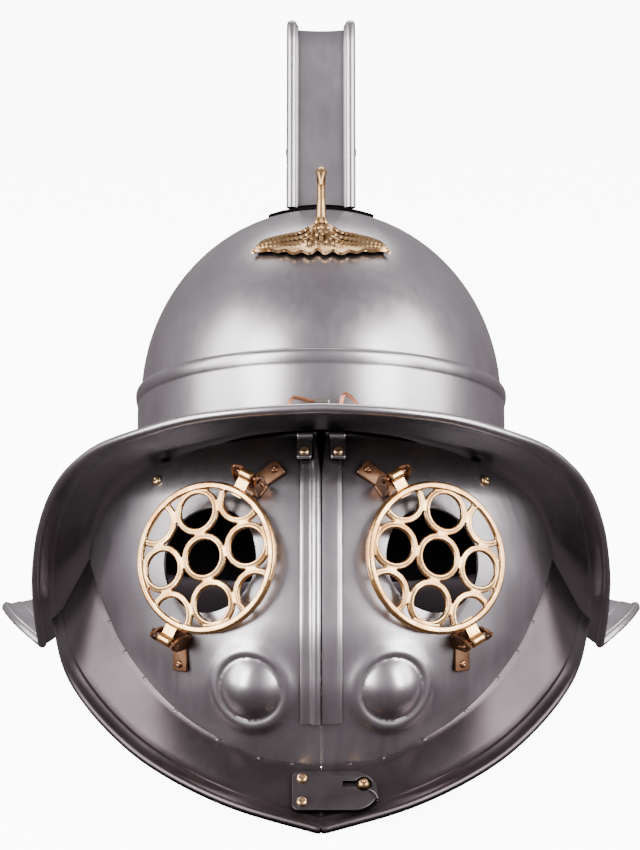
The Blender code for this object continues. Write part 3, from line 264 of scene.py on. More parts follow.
def shell_section(azimuth):
    """One upright section of the sheet, from the crown over the outside and back inside."""
    angle = math.radians(azimuth)
    corner, rim, out = brim_section(azimuth)
    top = bowl_point(angle, math.radians(90))
    lip = Vector((0, 0, rib_width / 2))
    points = [bowl_point(angle, math.radians(3.4 * i)) for i in range(26)]
    for i in range(13):
        t = i / 12
        swell = wall_offset * t + rib_rise * math.sin(math.pi * t ** 0.55) ** 0.8
        points.append(top + out * swell + lip * (1 - 2 * t))
    wall_top = Vector((corner.x, corner.y, -rib_width / 2 - mm))
    along = (rim - corner).normalized()
    over = out * -along.z + Vector((0, 0, 1)) * along.dot(out)
    bend_start = corner + Vector((0, 0, wall_corner))
    points += [wall_top.lerp(bend_start, i / 6) for i in range(6)]
    flat_end = rim - along * bead
    run = (flat_end - corner).length

    def brim_point(distance, side):
        share = distance / run
        crown = brim_crown * math.sin(math.pi * share)
        fold = border_rise * min(1, max(0, 1 - (run - distance - border) / (0.6 * mm)))
        return corner + along * distance + over * (crown + side * (sheet / 2 + fold))

    points += bend(bend_start, corner + over * sheet / 2, brim_point(wall_corner, 1), 5)
    distances = [wall_corner + (run - border - 2 * mm - wall_corner) * i / 10 for i in range(11)]
    distances += [run - border - 0.7 * mm, run - border - 0.3 * mm, run - border,
                  run - border * 0.6, run - border * 0.3]
    points += [brim_point(distance, 1) for distance in distances]
    for i in range(17):
        a = math.radians(152 - 19 * i)
        points.append(rim + (along * math.cos(a) + over * math.sin(a)) * bead)
    points += [brim_point(distance, -1) for distance in reversed(distances)]
    inner = corner - out * sheet
    inner_start = inner + Vector((0, 0, wall_corner))
    points += reversed(bend(inner_start, inner, brim_point(wall_corner, -1), 4))
    share = 1 - sheet / bowl_half_width
    points += [bowl_point(angle, math.radians(90 - 7.5 * i)) * share for i in range(13)]
    return [lift_to_floor(point) for point in points]


def placed(bm, matrix):
    bmesh.ops.transform(bm, matrix=matrix, verts=bm.verts)
    return bm


def face_outward(bm):
    bmesh.ops.recalc_face_normals(bm, faces=bm.faces)


def make_piece(name, bm, material, smooth_angle=40):
    """A finished object from a mesh drawn in the upright helmet, with its place in its mesh."""
    mesh = mesh_from(name, placed(bm, upright))
    mesh.materials.append(material)
    mesh.shade_smooth()
    mesh.set_sharp_from_angle(angle=math.radians(smooth_angle))
    return add_object(name, mesh)


def welded(bm, distance=0.001 * mm):
    """A mesh with its near points joined and its faces turned outward."""
    bmesh.ops.remove_doubles(bm, verts=bm.verts, dist=distance)
    face_outward(bm)
    return bm


def grid_mesh(columns, closed=False):
    """A grid laid along columns of points, joined round where it is closed."""
    count = len(columns)
    rows = len(columns[0])
    bm = bmesh.new()
    bmesh.ops.create_grid(bm, x_segments=count - (0 if closed else 1), y_segments=rows - 1, size=0.5)
    across = count if closed else count - 1
    for vert in bm.verts:
        i = round((vert.co.x + 0.5) * across)
        j = round((vert.co.y + 0.5) * (rows - 1))
        vert.co = columns[i % count][j]
    return welded(bm)


def thickened(bm, thickness):
    bmesh.ops.solidify(bm, geom=bm.faces[:], thickness=thickness)
    return bm


def new_metal(name):
    """A bare metal: its material, nodes and shader, and the place in a piece for its patterns."""
    material = bpy.data.materials.new(name)
    material.use_nodes = True
    tree = material.node_tree
    shader = tree.nodes["Principled BSDF"]
    shader.inputs["Metallic"].default_value = 1.0
    return material, tree, shader, add_node(tree, "TexCoord", {}).outputs["Object"]


def colour_metal(tree, shader, shade, hollow, limits):
    """Gives a metal its colour, darker in hollows; on the steels this darkening is painted shade.
    limits are the ends of the change, then of the share of the colour that is left."""
    depth = add_node(tree, "MapRange", dict(zip(("From Min", "From Max", "To Min", "To Max"), limits),
                                            Value=hollow.outputs["AO"]))
    tint = add_node(tree, "Mix", {"Factor": 1.0, 6: shade, 7: depth.outputs["Result"]},
                    data_type="RGBA", blend_type="MULTIPLY")
    tree.links.new(tint.outputs[2], shader.inputs["Base Color"])


def steel(name, light, dark, roughness, unevenness=0.12 * mm):
    """Polished sheet steel: cloudy grey, with painted shade in its hollows, a little uneven, with fine
    marks.
    """
    material, tree, shader, place = new_metal(name)
    cloud = add_node(tree, "TexNoise", {"Vector": place, "Scale": 22, "Detail": 4, "Roughness": 0.55})
    grain = add_node(tree, "TexNoise", {"Vector": place, "Scale": 900, "Detail": 3})
    shade = add_ramp(tree, cloud.outputs["Fac"], [(0.35, dark), (0.68, light)])
    # Occlusion within 90 mm darkens the steel's colour here: painted shade under the brim, inside the
    # bowl and in hollows.
    hollow = add_node(tree, "AmbientOcclusion", {"Distance": 90 * mm}, samples=6)
    colour_metal(tree, shader, shade, hollow, (0.16, 0.8, 0.12, 1.0))
    stretch = add_node(tree, "Mapping", {"Vector": place, "Scale": (260, 260, 22)})
    marks = add_node(tree, "TexNoise", {"Vector": stretch.outputs["Vector"], "Scale": 1, "Detail": 5})
    mixed = add_node(tree, "Math", {0: marks.outputs["Fac"], 1: cloud.outputs["Fac"]},
                     operation="MULTIPLY")
    gloss = add_node(tree, "MapRange", {"Value": mixed.outputs["Value"], "From Min": 0.12,
                                        "From Max": 0.42, "To Min": roughness - 0.03,
                                        "To Max": roughness + 0.04})
    tree.links.new(gloss.outputs["Result"], shader.inputs["Roughness"])
    wave = add_node(tree, "TexNoise", {"Vector": place, "Scale": 38, "Detail": 2, "Roughness": 0.4})
    broad = add_node(tree, "Bump", {"Height": wave.outputs["Fac"], "Distance": unevenness,
                                    "Strength": 1.0})
    fine = add_node(tree, "Bump", {"Height": grain.outputs["Fac"], "Distance": 0.008 * mm,
                                   "Strength": 0.5, "Normal": broad.outputs["Normal"]})
    tree.links.new(fine.outputs["Normal"], shader.inputs["Normal"])
    return material


steel_polish = steel("polished_steel", "#c6c0c4", "#b9b3b7", 0.31)
azimuths = [cusp * i / 64 for i in range(64)]
azimuths += [cusp + (180 - cusp) * (i / 40) ** 1.25 for i in range(41)]
azimuths += [-azimuth for azimuth in azimuths[-2:0:-1]]
shell = make_piece("helmet_shell", grid_mesh([shell_section(a) for a in azimuths], closed=True),
                   steel_polish)
# The bowl's inside gets a far darker steel as painted shade, so the eye openings look dark
shell.data.materials.append(steel("inside_painted_shade", "#4b4547", "#3b3638", 0.45))
to_upright = upright.inverted()
bowl_margin = 1.01
for face in shell.data.polygons:
    spot = to_upright @ face.center
    in_bowl = (spot.x / bowl_half_width) ** 2 + (spot.y / bowl_back) ** 2 < bowl_margin
    if in_bowl and (to_upright.to_3x3() @ face.normal).dot(spot) < 0:
        face.material_index = 1
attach(shell, "helmet")
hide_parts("shell")

# Crest: a box fin of sheet steel on the crown. Two side plates have their edges rolled over, a
# channel between them closes the front, top and back, and a flange carries it on the dome, coloured
# near-black as painted shadow.
gap = 0.3 * mm
crest_width = 40 * mm
crest_front = 30 * mm
crest_back = 96 * mm
crest_rise = 109 * mm
crest_top_length = 62 * mm
crest_bead = 3 * mm
crest_recess = 2.2 * mm
crest_foot_margin = 10 * mm
crest_rivet_drop = 76 * mm
rivet_radius = 2.9 * mm
rivet_rise = 1.9 * mm
# The viewer's left and right
halves = ((-1, "left"), (1, "right"))


def dome_point(x, y):
    """The point of the dome's outside over a place (x, y), and the way out of it there."""
    depth = bowl_front if y < 0 else bowl_back
    rest = 1 - (x / bowl_half_width) ** 2 - (y / depth) ** 2
    point = Vector((x, y, dome_rise * math.sqrt(max(rest, 0.0))))
    out = Vector((x / bowl_half_width ** 2, y / depth ** 2, point.z / dome_rise ** 2))
    return point, out.normalized()


def crest_outline(inset, foot):
    """The crest's side in (y, z), set in from its edge: up its front, back and down to the dome."""
    top = dome_rise + crest_rise - inset
    front = -crest_front + inset
    start = dome_point(crest_width / 2, front)[0].z + foot
    end = dome_point(crest_width / 2, crest_back)[0].z + foot
    sweep_start = -crest_front + crest_top_length
    outline = [(front, start + (top - 2 * mm - start) * i / 12) for i in range(13)]
    outline += [(front + 0.6 * mm, top - 0.6 * mm), (front + 2 * mm, top)]
    outline += [(front + 2 * mm + (sweep_start - front - 2 * mm) * i / 8,
                 top - mm * math.sin(math.pi * i / 8)) for i in range(1, 8)]
    reach = crest_back - inset - sweep_start
    for i in range(25):
        a = math.radians(90 * i / 24)
        outline.append((sweep_start + reach * math.sin(a), end + (top - end) * math.cos(a)))
    return outline


def taken_from(guide, mesh, distance=0.001 * mm):
    """A mesh made from a curve's object, after which both are removed."""
    bm = bmesh.new()
    bm.from_mesh(mesh)
    curve = guide.data
    bpy.data.objects.remove(guide)
    bpy.data.curves.remove(curve)
    bpy.data.meshes.remove(mesh)
    return welded(bm, distance)


def swept(path, radius, sizes=None, sides=3):
    """A round bar along a smooth path, with closed ends. sizes are shares of its radius."""
    curve = bpy.data.curves.new("bar", "CURVE")
    adjust(curve, dimensions="3D", bevel_depth=radius, bevel_resolution=sides, use_fill_caps=True)
    spline = curve.splines.new("POLY")
    spline.points.add(len(path) - 1)
    for i, (knot, point) in enumerate(zip(spline.points, path)):
        knot.co = (*point, 1)
        knot.radius = sizes[i] if sizes else 1
    guide = bpy.data.objects.new("bar", curve)
    return taken_from(guide, bpy.data.meshes.new_from_object(guide))


def block(outline, way):
    """A block between an outline and the same outline moved by way."""
    bm = bmesh.new()
    bmesh.ops.contextual_create(bm, geom=[bm.verts.new(point) for point in outline])
    raised = bmesh.ops.extrude_face_region(bm, geom=bm.faces[:])
    moved = [item for item in raised["geom"] if isinstance(item, bmesh.types.BMVert)]
    bmesh.ops.translate(bm, verts=moved, vec=way)
    return bm


def smooth_path(knots, steps):
    """Points of a smooth curve through knots."""
    path = []
    for i in range(len(knots) - 1):
        before = knots[max(i - 1, 0)]
        start, end = knots[i], knots[i + 1]
        after = knots[min(i + 2, len(knots) - 1)]
        for k in range(steps):
            t = k / steps
            path.append(0.5 * (2 * start + (end - before) * t
                               + (2 * before - 5 * start + 4 * end - after) * t ** 2
                               + (3 * start - before - 3 * end + after) * t ** 3))
    return path + [knots[-1]]


def join(*parts):
    """Several meshes in one."""
    whole = bmesh.new()
    for part in parts:
        scrap = bpy.data.meshes.new("scrap")
        part.to_mesh(scrap)
        part.free()
        whole.from_mesh(scrap)
        bpy.data.meshes.remove(scrap)
    return whole


def turned(profile, steps=32):
    """A solid of revolution about z, from (radius, height) points."""
    bm = bmesh.new()
    verts = [bm.verts.new((radius, 0, height)) for radius, height in profile]
    edges = [bm.edges.new(pair) for pair in zip(verts, verts[1:])]
    bmesh.ops.spin(bm, geom=verts + edges, cent=(0, 0, 0), axis=(0, 0, 1), angle=2 * math.pi,
                   steps=steps, use_merge=True)
    return welded(bm)


def frame_at(point, out, upward=Vector((0, 0, 1))):
    """A placing whose local z points out of a surface and whose local y points upward."""
    out = out.normalized()
    across = upward.cross(out).normalized()
    turn = Matrix((across, out.cross(across), out)).transposed().to_4x4()
    return Matrix.Translation(point) @ turn


def rivet(place, radius=rivet_radius, rise=rivet_rise):
    """A hammered rivet head, flattened on top, with a small dimple."""
    profile = [(0, 0), (radius * 0.96, 0), (radius, rise * 0.25), (radius * 0.9, rise * 0.62),
               (radius * 0.68, rise * 0.9), (radius * 0.42, rise), (radius * 0.27, rise * 0.97),
               (radius * 0.15, rise * 0.86), (0, rise * 0.83)]
    return placed(turned(profile, 24), place)


def brass(name, light, dark, roughness, patina):
    """Yellow metal with cloudy colour, darker where polish doesn't reach, and small pits."""
    material, tree, shader, place = new_metal(name)
    cloud = add_node(tree, "TexNoise", {"Vector": place, "Scale": 110, "Detail": 4})
    hollow = add_node(tree, "AmbientOcclusion", {"Distance": patina}, samples=8)
    shade = add_ramp(tree, cloud.outputs["Fac"], [(0.36, dark), (0.62, light)])
    colour_metal(tree, shader, shade, hollow, (0.4, 0.92, 0.2, 1.0))
    gloss = add_node(tree, "MapRange", {"Value": cloud.outputs["Fac"], "From Min": 0.3,
                                        "From Max": 0.7, "To Min": roughness + 0.08,
                                        "To Max": roughness - 0.04})
    tree.links.new(gloss.outputs["Result"], shader.inputs["Roughness"])
    pits = add_node(tree, "TexNoise", {"Vector": place, "Scale": 700, "Detail": 3})
    bump = add_node(tree, "Bump", {"Height": pits.outputs["Fac"], "Distance": 0.05 * mm,
                                   "Strength": 0.6})
    tree.links.new(bump.outputs["Normal"], shader.inputs["Normal"])
    return material


# The flange's near-black steel is painted shadow, for the dark gap under the crest.
painted_shadow_steel = steel("flange_painted_shadow", "#2b2829", "#1a1819", 0.42)
rivet_brass = brass("rivet_brass", "#e6c69a", "#b98f5f", 0.24, 1.5 * mm)
foot_half = crest_width / 2 + crest_foot_margin
foot_front = -crest_front - crest_foot_margin * 0.4
foot_back = crest_back + crest_foot_margin * 0.4
columns = []
for i in range(25):
    column = []
    for j in range(49):
        y = foot_front + (foot_back - foot_front) * j / 48
        nearness = min(y - foot_front, foot_back - y) / (crest_foot_margin * 0.6)
        half = foot_half - crest_foot_margin * 0.6 * max(0.0, 1 - nearness)
        point, out = dome_point(half * (i / 12 - 1), y)
        column.append(point + out * (gap + sheet))
    columns.append(column)
foot = make_piece("crest_flange", thickened(grid_mesh(columns), sheet), painted_shadow_steel)
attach(foot, "helmet")
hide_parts("crest_foot")

for side, word in halves:
    x = side * (crest_width / 2 - crest_bead)
    outline = crest_outline(0, 2 * sheet)
    lower = [(y, dome_point(x, y)[0].z + 2 * sheet)
             for y in [crest_back - (crest_back + crest_front) * i / 40 for i in range(1, 40)]]
    bm = block([(x, y, z) for y, z in outline + lower], (-side * sheet, 0, 0))
    face_outward(bm)
    roll = swept([Vector((x, y, z)) for y, z in outline], crest_bead, sides=4)
    fold = [Vector((x - side * 1.6 * mm, y, z)) for y, z in crest_outline(mm, 2 * sheet)]
    cheek = make_piece("crest_side_" + word, join(bm, roll, swept(fold, 2.3 * mm)), steel_polish)
    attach(cheek, "helmet")
    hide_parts("crest_plate_" + word)
    height = dome_rise + crest_rise - crest_rivet_drop
    seat = Vector((x + side * sheet, -crest_front + 2.5 * crest_bead, height))
    head = make_piece("crest_pin_" + word, rivet(frame_at(seat, Vector((side, 0, 0)))), rivet_brass)
    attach(head, "helmet")
    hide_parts("crest_rivet_" + word)

channel_half = crest_width / 2 - 2 * crest_bead + mm
outline = crest_outline(crest_recess, 2 * sheet)
columns = []
for i in range(13):
    across = i / 6 - 1
    x = channel_half * across
    column = []
    for k, (y, z) in enumerate(outline):
        if k in (0, len(outline) - 1):
            z = dome_point(x, y)[0].z + 2 * sheet
        column.append(Vector((x, y, z - 0.8 * mm * (1 - across ** 2) * min(1, k / 12))))
    columns.append(column)
channel = make_piece("crest_front_and_back", thickened(grid_mesh(columns), sheet), steel_polish)
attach(channel, "helmet")
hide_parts("crest_channel")

# Ornament: a cast brass bird that clings to the dome in front of the crest. Its spread wings carry
# rows of feathers, and its thin neck rises to a small head that hooks forward.
wing_half_span = 35 * mm
wing_thickness = 4 * mm
wing_place = 47
neck_rise = 30 * mm
neck_radius = 2.4 * mm
feather_length = 8.5 * mm
feather_half_width = 2.5 * mm
feather_sheet = 0.8 * mm
wing_sheet = 1.8 * mm
wing_wave = 0.5 * mm
wing_waves = 26

# Lower and upper edge of the wings across the half span, in degrees on the dome from wing_place.
wing_edges = rows_of("across lower upper",
                     (0.00, 9.4, -10.0), (0.12, 9.6, -5.5), (0.30, 9.6, -0.8), (0.60, 7.8, 0.0),
                     (0.85, 5.8, 0.6), (1.00, 4.4, 2.2))
neck_path = rows_of("along forward radius",
                    (-0.22, 0.00, 2.6), (-0.05, 0.04, 2.0), (0.12, 0.08, 1.35), (0.45, 0.15, 1.0),
                    (0.72, 0.19, 0.95), (0.90, 0.26, 1.1), (0.97, 0.36, 1.4), (0.93, 0.47, 1.3),
                    (0.80, 0.55, 0.7), (0.68, 0.57, 0.35))


def wing_spot(across, share, lift):
    """A point over the wings: across from tip to tip, share from upper to lower edge."""
    upper = read(wing_edges, "across", "upper", abs(across))
    lower = read(wing_edges, "across", "lower", abs(across))
    polar = math.radians(wing_place + upper + (lower - upper) * share)
    x = wing_half_span * across
    y = -bowl_front * math.sin(polar) * math.sqrt(1 - (x / bowl_half_width) ** 2)
    point, out = dome_point(x, y)
    return point + out * (gap + lift), out


def feather(root, tip, out, width, lift):
    """A feather with a raised rib down its middle, from its root to its rounded tip."""
    along = tip - root
    length = along.length
    along = along.normalized()
    across = along.cross(out).normalized()
    bm = bmesh.new()
    bmesh.ops.create_grid(bm, x_segments=4, y_segments=7, size=0.5)
    for vert in bm.verts:
        aside = vert.co.x * 2
        share = vert.co.y + 0.5
        half = width * math.sqrt(max(1 - (2 * share - 0.9) ** 4 / 1.6, 0.02))
        rise = lift + 0.9 * mm * share + 1.0 * mm * (1 - abs(aside)) - 0.6 * mm * share ** 3
        vert.co = root + along * length * share + across * half * aside + out * rise
    face_outward(bm)
    if sum((face.normal.dot(out) for face in bm.faces)) < 0:
        bmesh.ops.reverse_faces(bm, faces=bm.faces)
    return thickened(bm, feather_sheet)


columns = []
for i in range(61):
    across = i / 30 - 1
    column = []
    for j in range(11):
        share = j / 10
        edge = wing_wave * math.sin(wing_waves * across) * share ** 3
        rim = 1.0 * mm * share ** 4 + (0.7 - 1.5 * abs(across) * (1 - share)) * mm
        point, out = wing_spot(across, share + edge / (9 * mm), wing_thickness - 2.2 * mm + rim)
        column.append(point)
    columns.append(column)
parts = [thickened(grid_mesh(columns), wing_sheet)]
# Rows of wing feathers: first and last place across, share down the wing, feathers, lift, size
feather_rows = [(0.16, 0.97, 0.74, 15, 1.6, 0.64), (0.18, 0.95, 0.50, 14, 2.0, 0.62),
                (0.18, 0.91, 0.26, 13, 2.3, 0.60), (0.20, 0.84, 0.04, 11, 2.5, 0.55)]
for side in (-1, 1):
    for first, last, share, count, lift, size in feather_rows:
        for i in range(count):
            across = last + (first - last) * i / (count - 1)
            spot, out = wing_spot(side * across, share, 0)
            ahead = wing_spot(side * min(across + 0.12, 1), share + 0.2, 0)[0]
            way = (ahead - spot).normalized()
            tip = spot + way * feather_length * size * (0.8 if across > 0.85 else 1)
            parts.append(feather(spot, tip, out, feather_half_width * size, lift * mm))
for row in range(7):
    count = 3 + row // 2
    for i in range(count):
        aside = (2 * i / (count - 1) - 1) * (0.03 + 0.022 * row)
        spot, out = wing_spot(aside, 0.02 + 0.125 * row, 0)
        down = wing_spot(aside * 1.5, 0.2 + 0.125 * row, 0)[0]
        tip = spot + (down - spot).normalized() * feather_length * 0.62
        parts.append(feather(spot, tip, out, feather_half_width * 0.62, (3.9 - 0.25 * row) * mm))
base = bowl_point(0, math.radians(wing_place)) + Vector((0, 0, wing_thickness))
knots = [base + Vector((0, -row["forward"], row["along"])) * neck_rise for row in neck_path]
path = smooth_path(knots, 5)
# Small feathers wrap the foot of the neck: rows from the top down, each wider than the one above
ruff_rows = 5
ruff_top = 12
ruff_drop = 5.6 * mm
ruff_half_width = 1.5 * mm
for row in range(ruff_rows):
    middle = path[ruff_top - 2 * row]
    for turn in (-64, -32, 0, 32, 64):
        turn = math.radians(turn + 8 * (row % 2))
        ahead = Vector((math.sin(turn), -math.cos(turn), 0))
        spot = middle + ahead * (0.9 + 0.85 * row) * mm
        tip = spot + ahead * (1.6 + 0.5 * row) * mm - Vector((0, 0, ruff_drop))
        out = (ahead + Vector((0, 0, 0.3))).normalized()
        parts.append(feather(spot, tip, out, ruff_half_width, 0))
thick = smooth_path([Vector((row["radius"], 0, 0)) for row in neck_path], 5)
parts.append(swept(path, neck_radius, [size.x for size in thick], sides=5))
antique_brass = brass("antique_brass", "#d6b083", "#9a7449", 0.3, 2.5 * mm)
bird = make_piece("dome_bird", join(*parts), antique_brass, 50)
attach(bird, "helmet")
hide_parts("ornament")

# Copper wires: they come up through the brim from the face guard's tabs. The left one is long and
# its end is flattened, the right one is a short bow.
wire_radius = 1.1 * mm
wire_y = -133 * mm
flat_end_size = (9 * mm, 1.6 * mm, 2.6 * mm)
flat_end_reach = 3.6 * mm
flat_end_tilt = 3
# How far along x and how high over the brim each bend of a wire lies, in millimetres
left_wire = [(-17.2, 0.2), (-17.6, 8), (-16.8, 12.6), (-14.4, 15.3), (-10, 14.5), (-6, 13.4),
             (-3.6, 13.1)]
right_wire = [(12.0, 0.2), (10.8, 8), (11.0, 14), (12.8, 17.2), (15.0, 16.2), (18.0, 13.2),
              (20.2, 9.5), (20.4, 5), (20.0, 0.2)]


def brim_top(x, y):
    """The top of the brim near the front, over a place (x, y)."""
    azimuth = math.degrees(math.atan2(x / (bowl_half_width + wall_offset),
                                      -y / (bowl_front + wall_offset)))
    for _ in range(8):
        corner, rim, out = brim_section(azimuth)
        aside = Vector((x, y, 0)).cross(out).z - Vector((corner.x, corner.y, 0)).cross(out).z
        azimuth -= math.degrees(aside / math.hypot(x, y))
    share = (Vector((x, y, 0)) - Vector((corner.x, corner.y, 0))).dot(out) / (rim - corner).dot(out)
    height = corner.z + (rim.z - corner.z) * share + brim_crown * math.sin(math.pi * share)
    return Vector((x, y, height + sheet / 2))


def copper_wire(bends):
    knots = [brim_top(x * mm, wire_y) + Vector((0, 0, z * mm)) for x, z in bends]
    return swept(smooth_path(knots, 8), wire_radius, sides=4)


copper = brass("copper_wire", "#dd9a78", "#a8674a", 0.3, 1.2 * mm)
tinned = brass("flattened_wire_end", "#a09a90", "#77705f", 0.35, 1 * mm)
for word, bends in (("left", left_wire), ("right", right_wire)):
    wire = make_piece("copper_wire_" + word, copper_wire(bends), copper)
    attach(wire, "helmet")
    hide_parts("wire_" + word)
end = brim_top(left_wire[-1][0] * mm, wire_y) + Vector((0, 0, left_wire[-1][1] * mm))
bm = bmesh.new()
bmesh.ops.create_cube(bm, size=1)
bmesh.ops.scale(bm, vec=flat_end_size, verts=bm.verts)
bmesh.ops.bevel(bm, geom=bm.edges[:], offset=0.6 * mm, segments=3, profile=0.5, affect="EDGES",
                material=-1)
bmesh.ops.rotate(bm, matrix=Matrix.Rotation(math.radians(flat_end_tilt), 3, "Y"), verts=bm.verts)
bmesh.ops.translate(bm, vec=end + Vector((flat_end_reach, 0, 0)), verts=bm.verts)
flat_end = make_piece("wire_flat_end", bm, tinned)
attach(flat_end, "helmet")

# Face guard: two curved plates of raised steel that meet at the centre line. Each has a round eye
# opening cut through it, and a boss beaten out of the cheek inside a soft ring.
face_setback = 12 * mm
face_depth = 138 * mm
face_half_width = 133 * mm
face_bottom = 219 * mm
face_side = 129 * mm
face_split = 0.004 * mm
split_top = 2.6 * mm
split_length = 26 * mm
edge_fall = 0.5 * mm
eye_x = 60 * mm
eye_z = -112 * mm
eye_radius = 28 * mm
boss_x = 38 * mm
boss_z = -181 * mm
boss_swell_radius = 29 * mm
boss_swell = 5 * mm
boss_radius = 16.5 * mm
boss_rise = 5 * mm
boss_ring_radius = 20.6 * mm
boss_ring_rise = 1.5 * mm

# Upright sections, and the upper and lower edge: shares of face_bottom, face_depth,
# face_half_width and face_side
face_sections = rows_of("drop depth width",
                        (0.205, 0.841, 0.977), (0.342, 0.949, 1.000), (0.502, 1.000, 1.000),
                        (0.662, 0.993, 0.955), (0.799, 0.935, 0.895), (0.927, 0.841, 0.812),
                        (1.000, 0.783, 0.752))
face_upper = rows_of("side drop",
                     (0.00, 0.194), (0.47, 0.222), (0.68, 0.262), (0.87, 0.322), (0.98, 0.400),
                     (1.00, 0.432))
face_lower = rows_of("side drop",
                     (0.00, 1.000), (0.23, 0.980), (0.43, 0.927), (0.60, 0.856), (0.82, 0.703),
                     (0.93, 0.571), (1.00, 0.452))


def face_y(x, z):
    """How far forward the face plate's outside stands at a place (x, z), without the boss."""
    drop = -z / face_bottom
    depth = face_depth * read(face_sections, "drop", "depth", drop)
    width = face_half_width * read(face_sections, "drop", "width", drop)
    y = -face_setback - depth * math.sqrt(max(1 - (x / width) ** 2, 0.0))
    away = math.hypot(abs(x) - boss_x, z - boss_z) / boss_swell_radius
    return y - boss_swell * math.exp(-2.5 * away ** 2)


def face_point(x, z):
    """The point of the face plate's outside at (x, z), and the way out of it there."""
    slope_x = (face_y(x + mm, z) - face_y(x - mm, z)) / (2 * mm)
    slope_z = (face_y(x, z + mm) - face_y(x, z - mm)) / (2 * mm)
    return Vector((x, face_y(x, z), z)), Vector((slope_x, -1, slope_z)).normalized()


def face_edge(table, x):
    return -face_bottom * read(table, "side", "drop", x / face_side)


def split_half(z):
    """Half of the split between the face plates, which opens upward."""
    share = max(0.0, 1 - (face_edge(face_upper, 0) - z) / split_length)
    return face_split / 2 + split_top * share


def mirrored(side, vector):
    """A point or way drawn on the viewer's right, brought to the half with that side."""
    return Vector((side * vector.x, vector.y, vector.z))


def boss_height(distance):
    """How high the boss stands over the cheek, by the distance from its middle."""
    dome = boss_rise * max(0.0, 1 - (distance / boss_radius) ** 2.4)
    ring = boss_ring_rise * math.exp(-((distance - boss_ring_radius) / (3.4 * mm)) ** 2)
    return dome + ring - 0.3 * mm * math.exp(-((distance - boss_radius) / (1.2 * mm)) ** 2)


def faced_out(bm, middle):
    """Turns the faces of an open sheet so that they look away from a point inside the helmet."""
    face_outward(bm)
    if sum(face.normal.dot(face.calc_center_median() - middle) for face in bm.faces) < 0:
        bmesh.ops.reverse_faces(bm, faces=bm.faces)
    return bm


inside = Vector((0, 0, eye_z))
steel_face = steel("face_steel", "#d0cace", "#c0babe", 0.31)
face_columns = 150
face_rows = 160
# How near the eye's cut a point of the grid moves onto it, and how far behind it the cut reaches
eye_snap = 0.6 * mm
eye_reach = 20 * mm
for side, word in halves:
    eye_point, eye_out = face_point(eye_x, eye_z)
    eye_seat = frame_at(eye_point, eye_out)
    to_eye = eye_seat.inverted()
    boss_point, boss_out = face_point(boss_x, boss_z)
    boss_seat = frame_at(boss_point, boss_out).inverted()
    columns = []
    for j in range(face_columns + 1):
        share = 1 - (1 - j / face_columns) ** 1.25
        upper = face_edge(face_upper, face_side * share)
        lower = face_edge(face_lower, face_side * share)
        column = []
        for i in range(face_rows + 1):
            z = upper + (lower - upper) * i / face_rows
            split = split_half(z)
            point, out = face_point(split + (face_side - split) * share, z)
            over_eye = to_eye @ point
            off = over_eye.xy.length - eye_radius
            if abs(off) < eye_snap and over_eye.z > -eye_reach:
                for _ in range(4):
                    over_eye.xy = over_eye.xy.normalized() * eye_radius
                    point = eye_seat @ over_eye
                    point.y = face_y(point.x, point.z)
                    over_eye = to_eye @ point
            if j == 0:
                point = point - out * edge_fall
            away = (boss_seat @ point).xy.length
            if away < 2 * boss_radius:
                point = point + boss_out * boss_height(away)
            column.append(mirrored(side, point))
        columns.append(column)
    bm = grid_mesh(columns)
    eye_view = frame_at(mirrored(side, eye_point), mirrored(side, eye_out)).inverted()
    gone = [face for face in bm.faces
            if (eye_view @ face.calc_center_median()).xy.length < eye_radius
            and (eye_view @ face.calc_center_median()).z > -eye_reach]
    bmesh.ops.delete(bm, geom=gone, context="FACES")
    rim_verts = {vert for edge in bm.edges if edge.is_boundary for vert in edge.verts}
    for vert in rim_verts:
        spot = eye_view @ vert.co
        if spot.xy.length < eye_radius + 3 * mm and spot.z > -eye_reach:
            spot.xy = spot.xy.normalized() * eye_radius
            moved = eye_view.inverted() @ spot
            vert.co = Vector((moved.x, face_y(abs(moved.x), moved.z), moved.z))
    face_plate = make_piece("face_plate_" + word, thickened(faced_out(bm, inside), sheet), steel_face)
    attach(face_plate, "visor_" + word)
    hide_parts("visor_" + word)

# Collar: a flared sheet under each face plate, welded to its lower edge, with a raised border and
# the same rolled rim as the brim.
collar_side = 152 * mm
collar_steps = 110
lap = 3 * mm
weld_spots = 9
# Height over the joint by the distance from a weld spot's middle
weld_profile = [(0, -0.4 * mm), (1.7 * mm, -0.4 * mm), (1.5 * mm, 0.1 * mm), (0.8 * mm, 0.4 * mm),
                (0, 0.5 * mm)]
weld_stretch = (1.5, 0.8, 1)
# How much smaller the section is at the split, which leaves a fine groove there
split_shrink = 0.02
collar_shape = rows_of("along side front drop",
                       (0.00, 0.000, 1.000, 1.000), (0.25, 0.300, 0.909, 0.945),
                       (0.50, 0.635, 0.734, 0.834), (0.78, 0.895, 0.490, 0.656),
                       (1.00, 0.987, 0.098, 0.512))


def collar_rim(along):
    return Vector((collar_side * read(collar_shape, "along", "side", along),
                   -collar_front * read(collar_shape, "along", "front", along),
                   -collar_bottom * read(collar_shape, "along", "drop", along)))


def collar_root(along):
    x = face_side * math.sin(math.radians(90 * along))
    z = face_edge(face_lower, x)
    return Vector((x, face_y(x, z), z))


def smooth_step(low, high, value):
    t = min(max((value - low) / (high - low), 0), 1)
    return t * t * (3 - 2 * t)


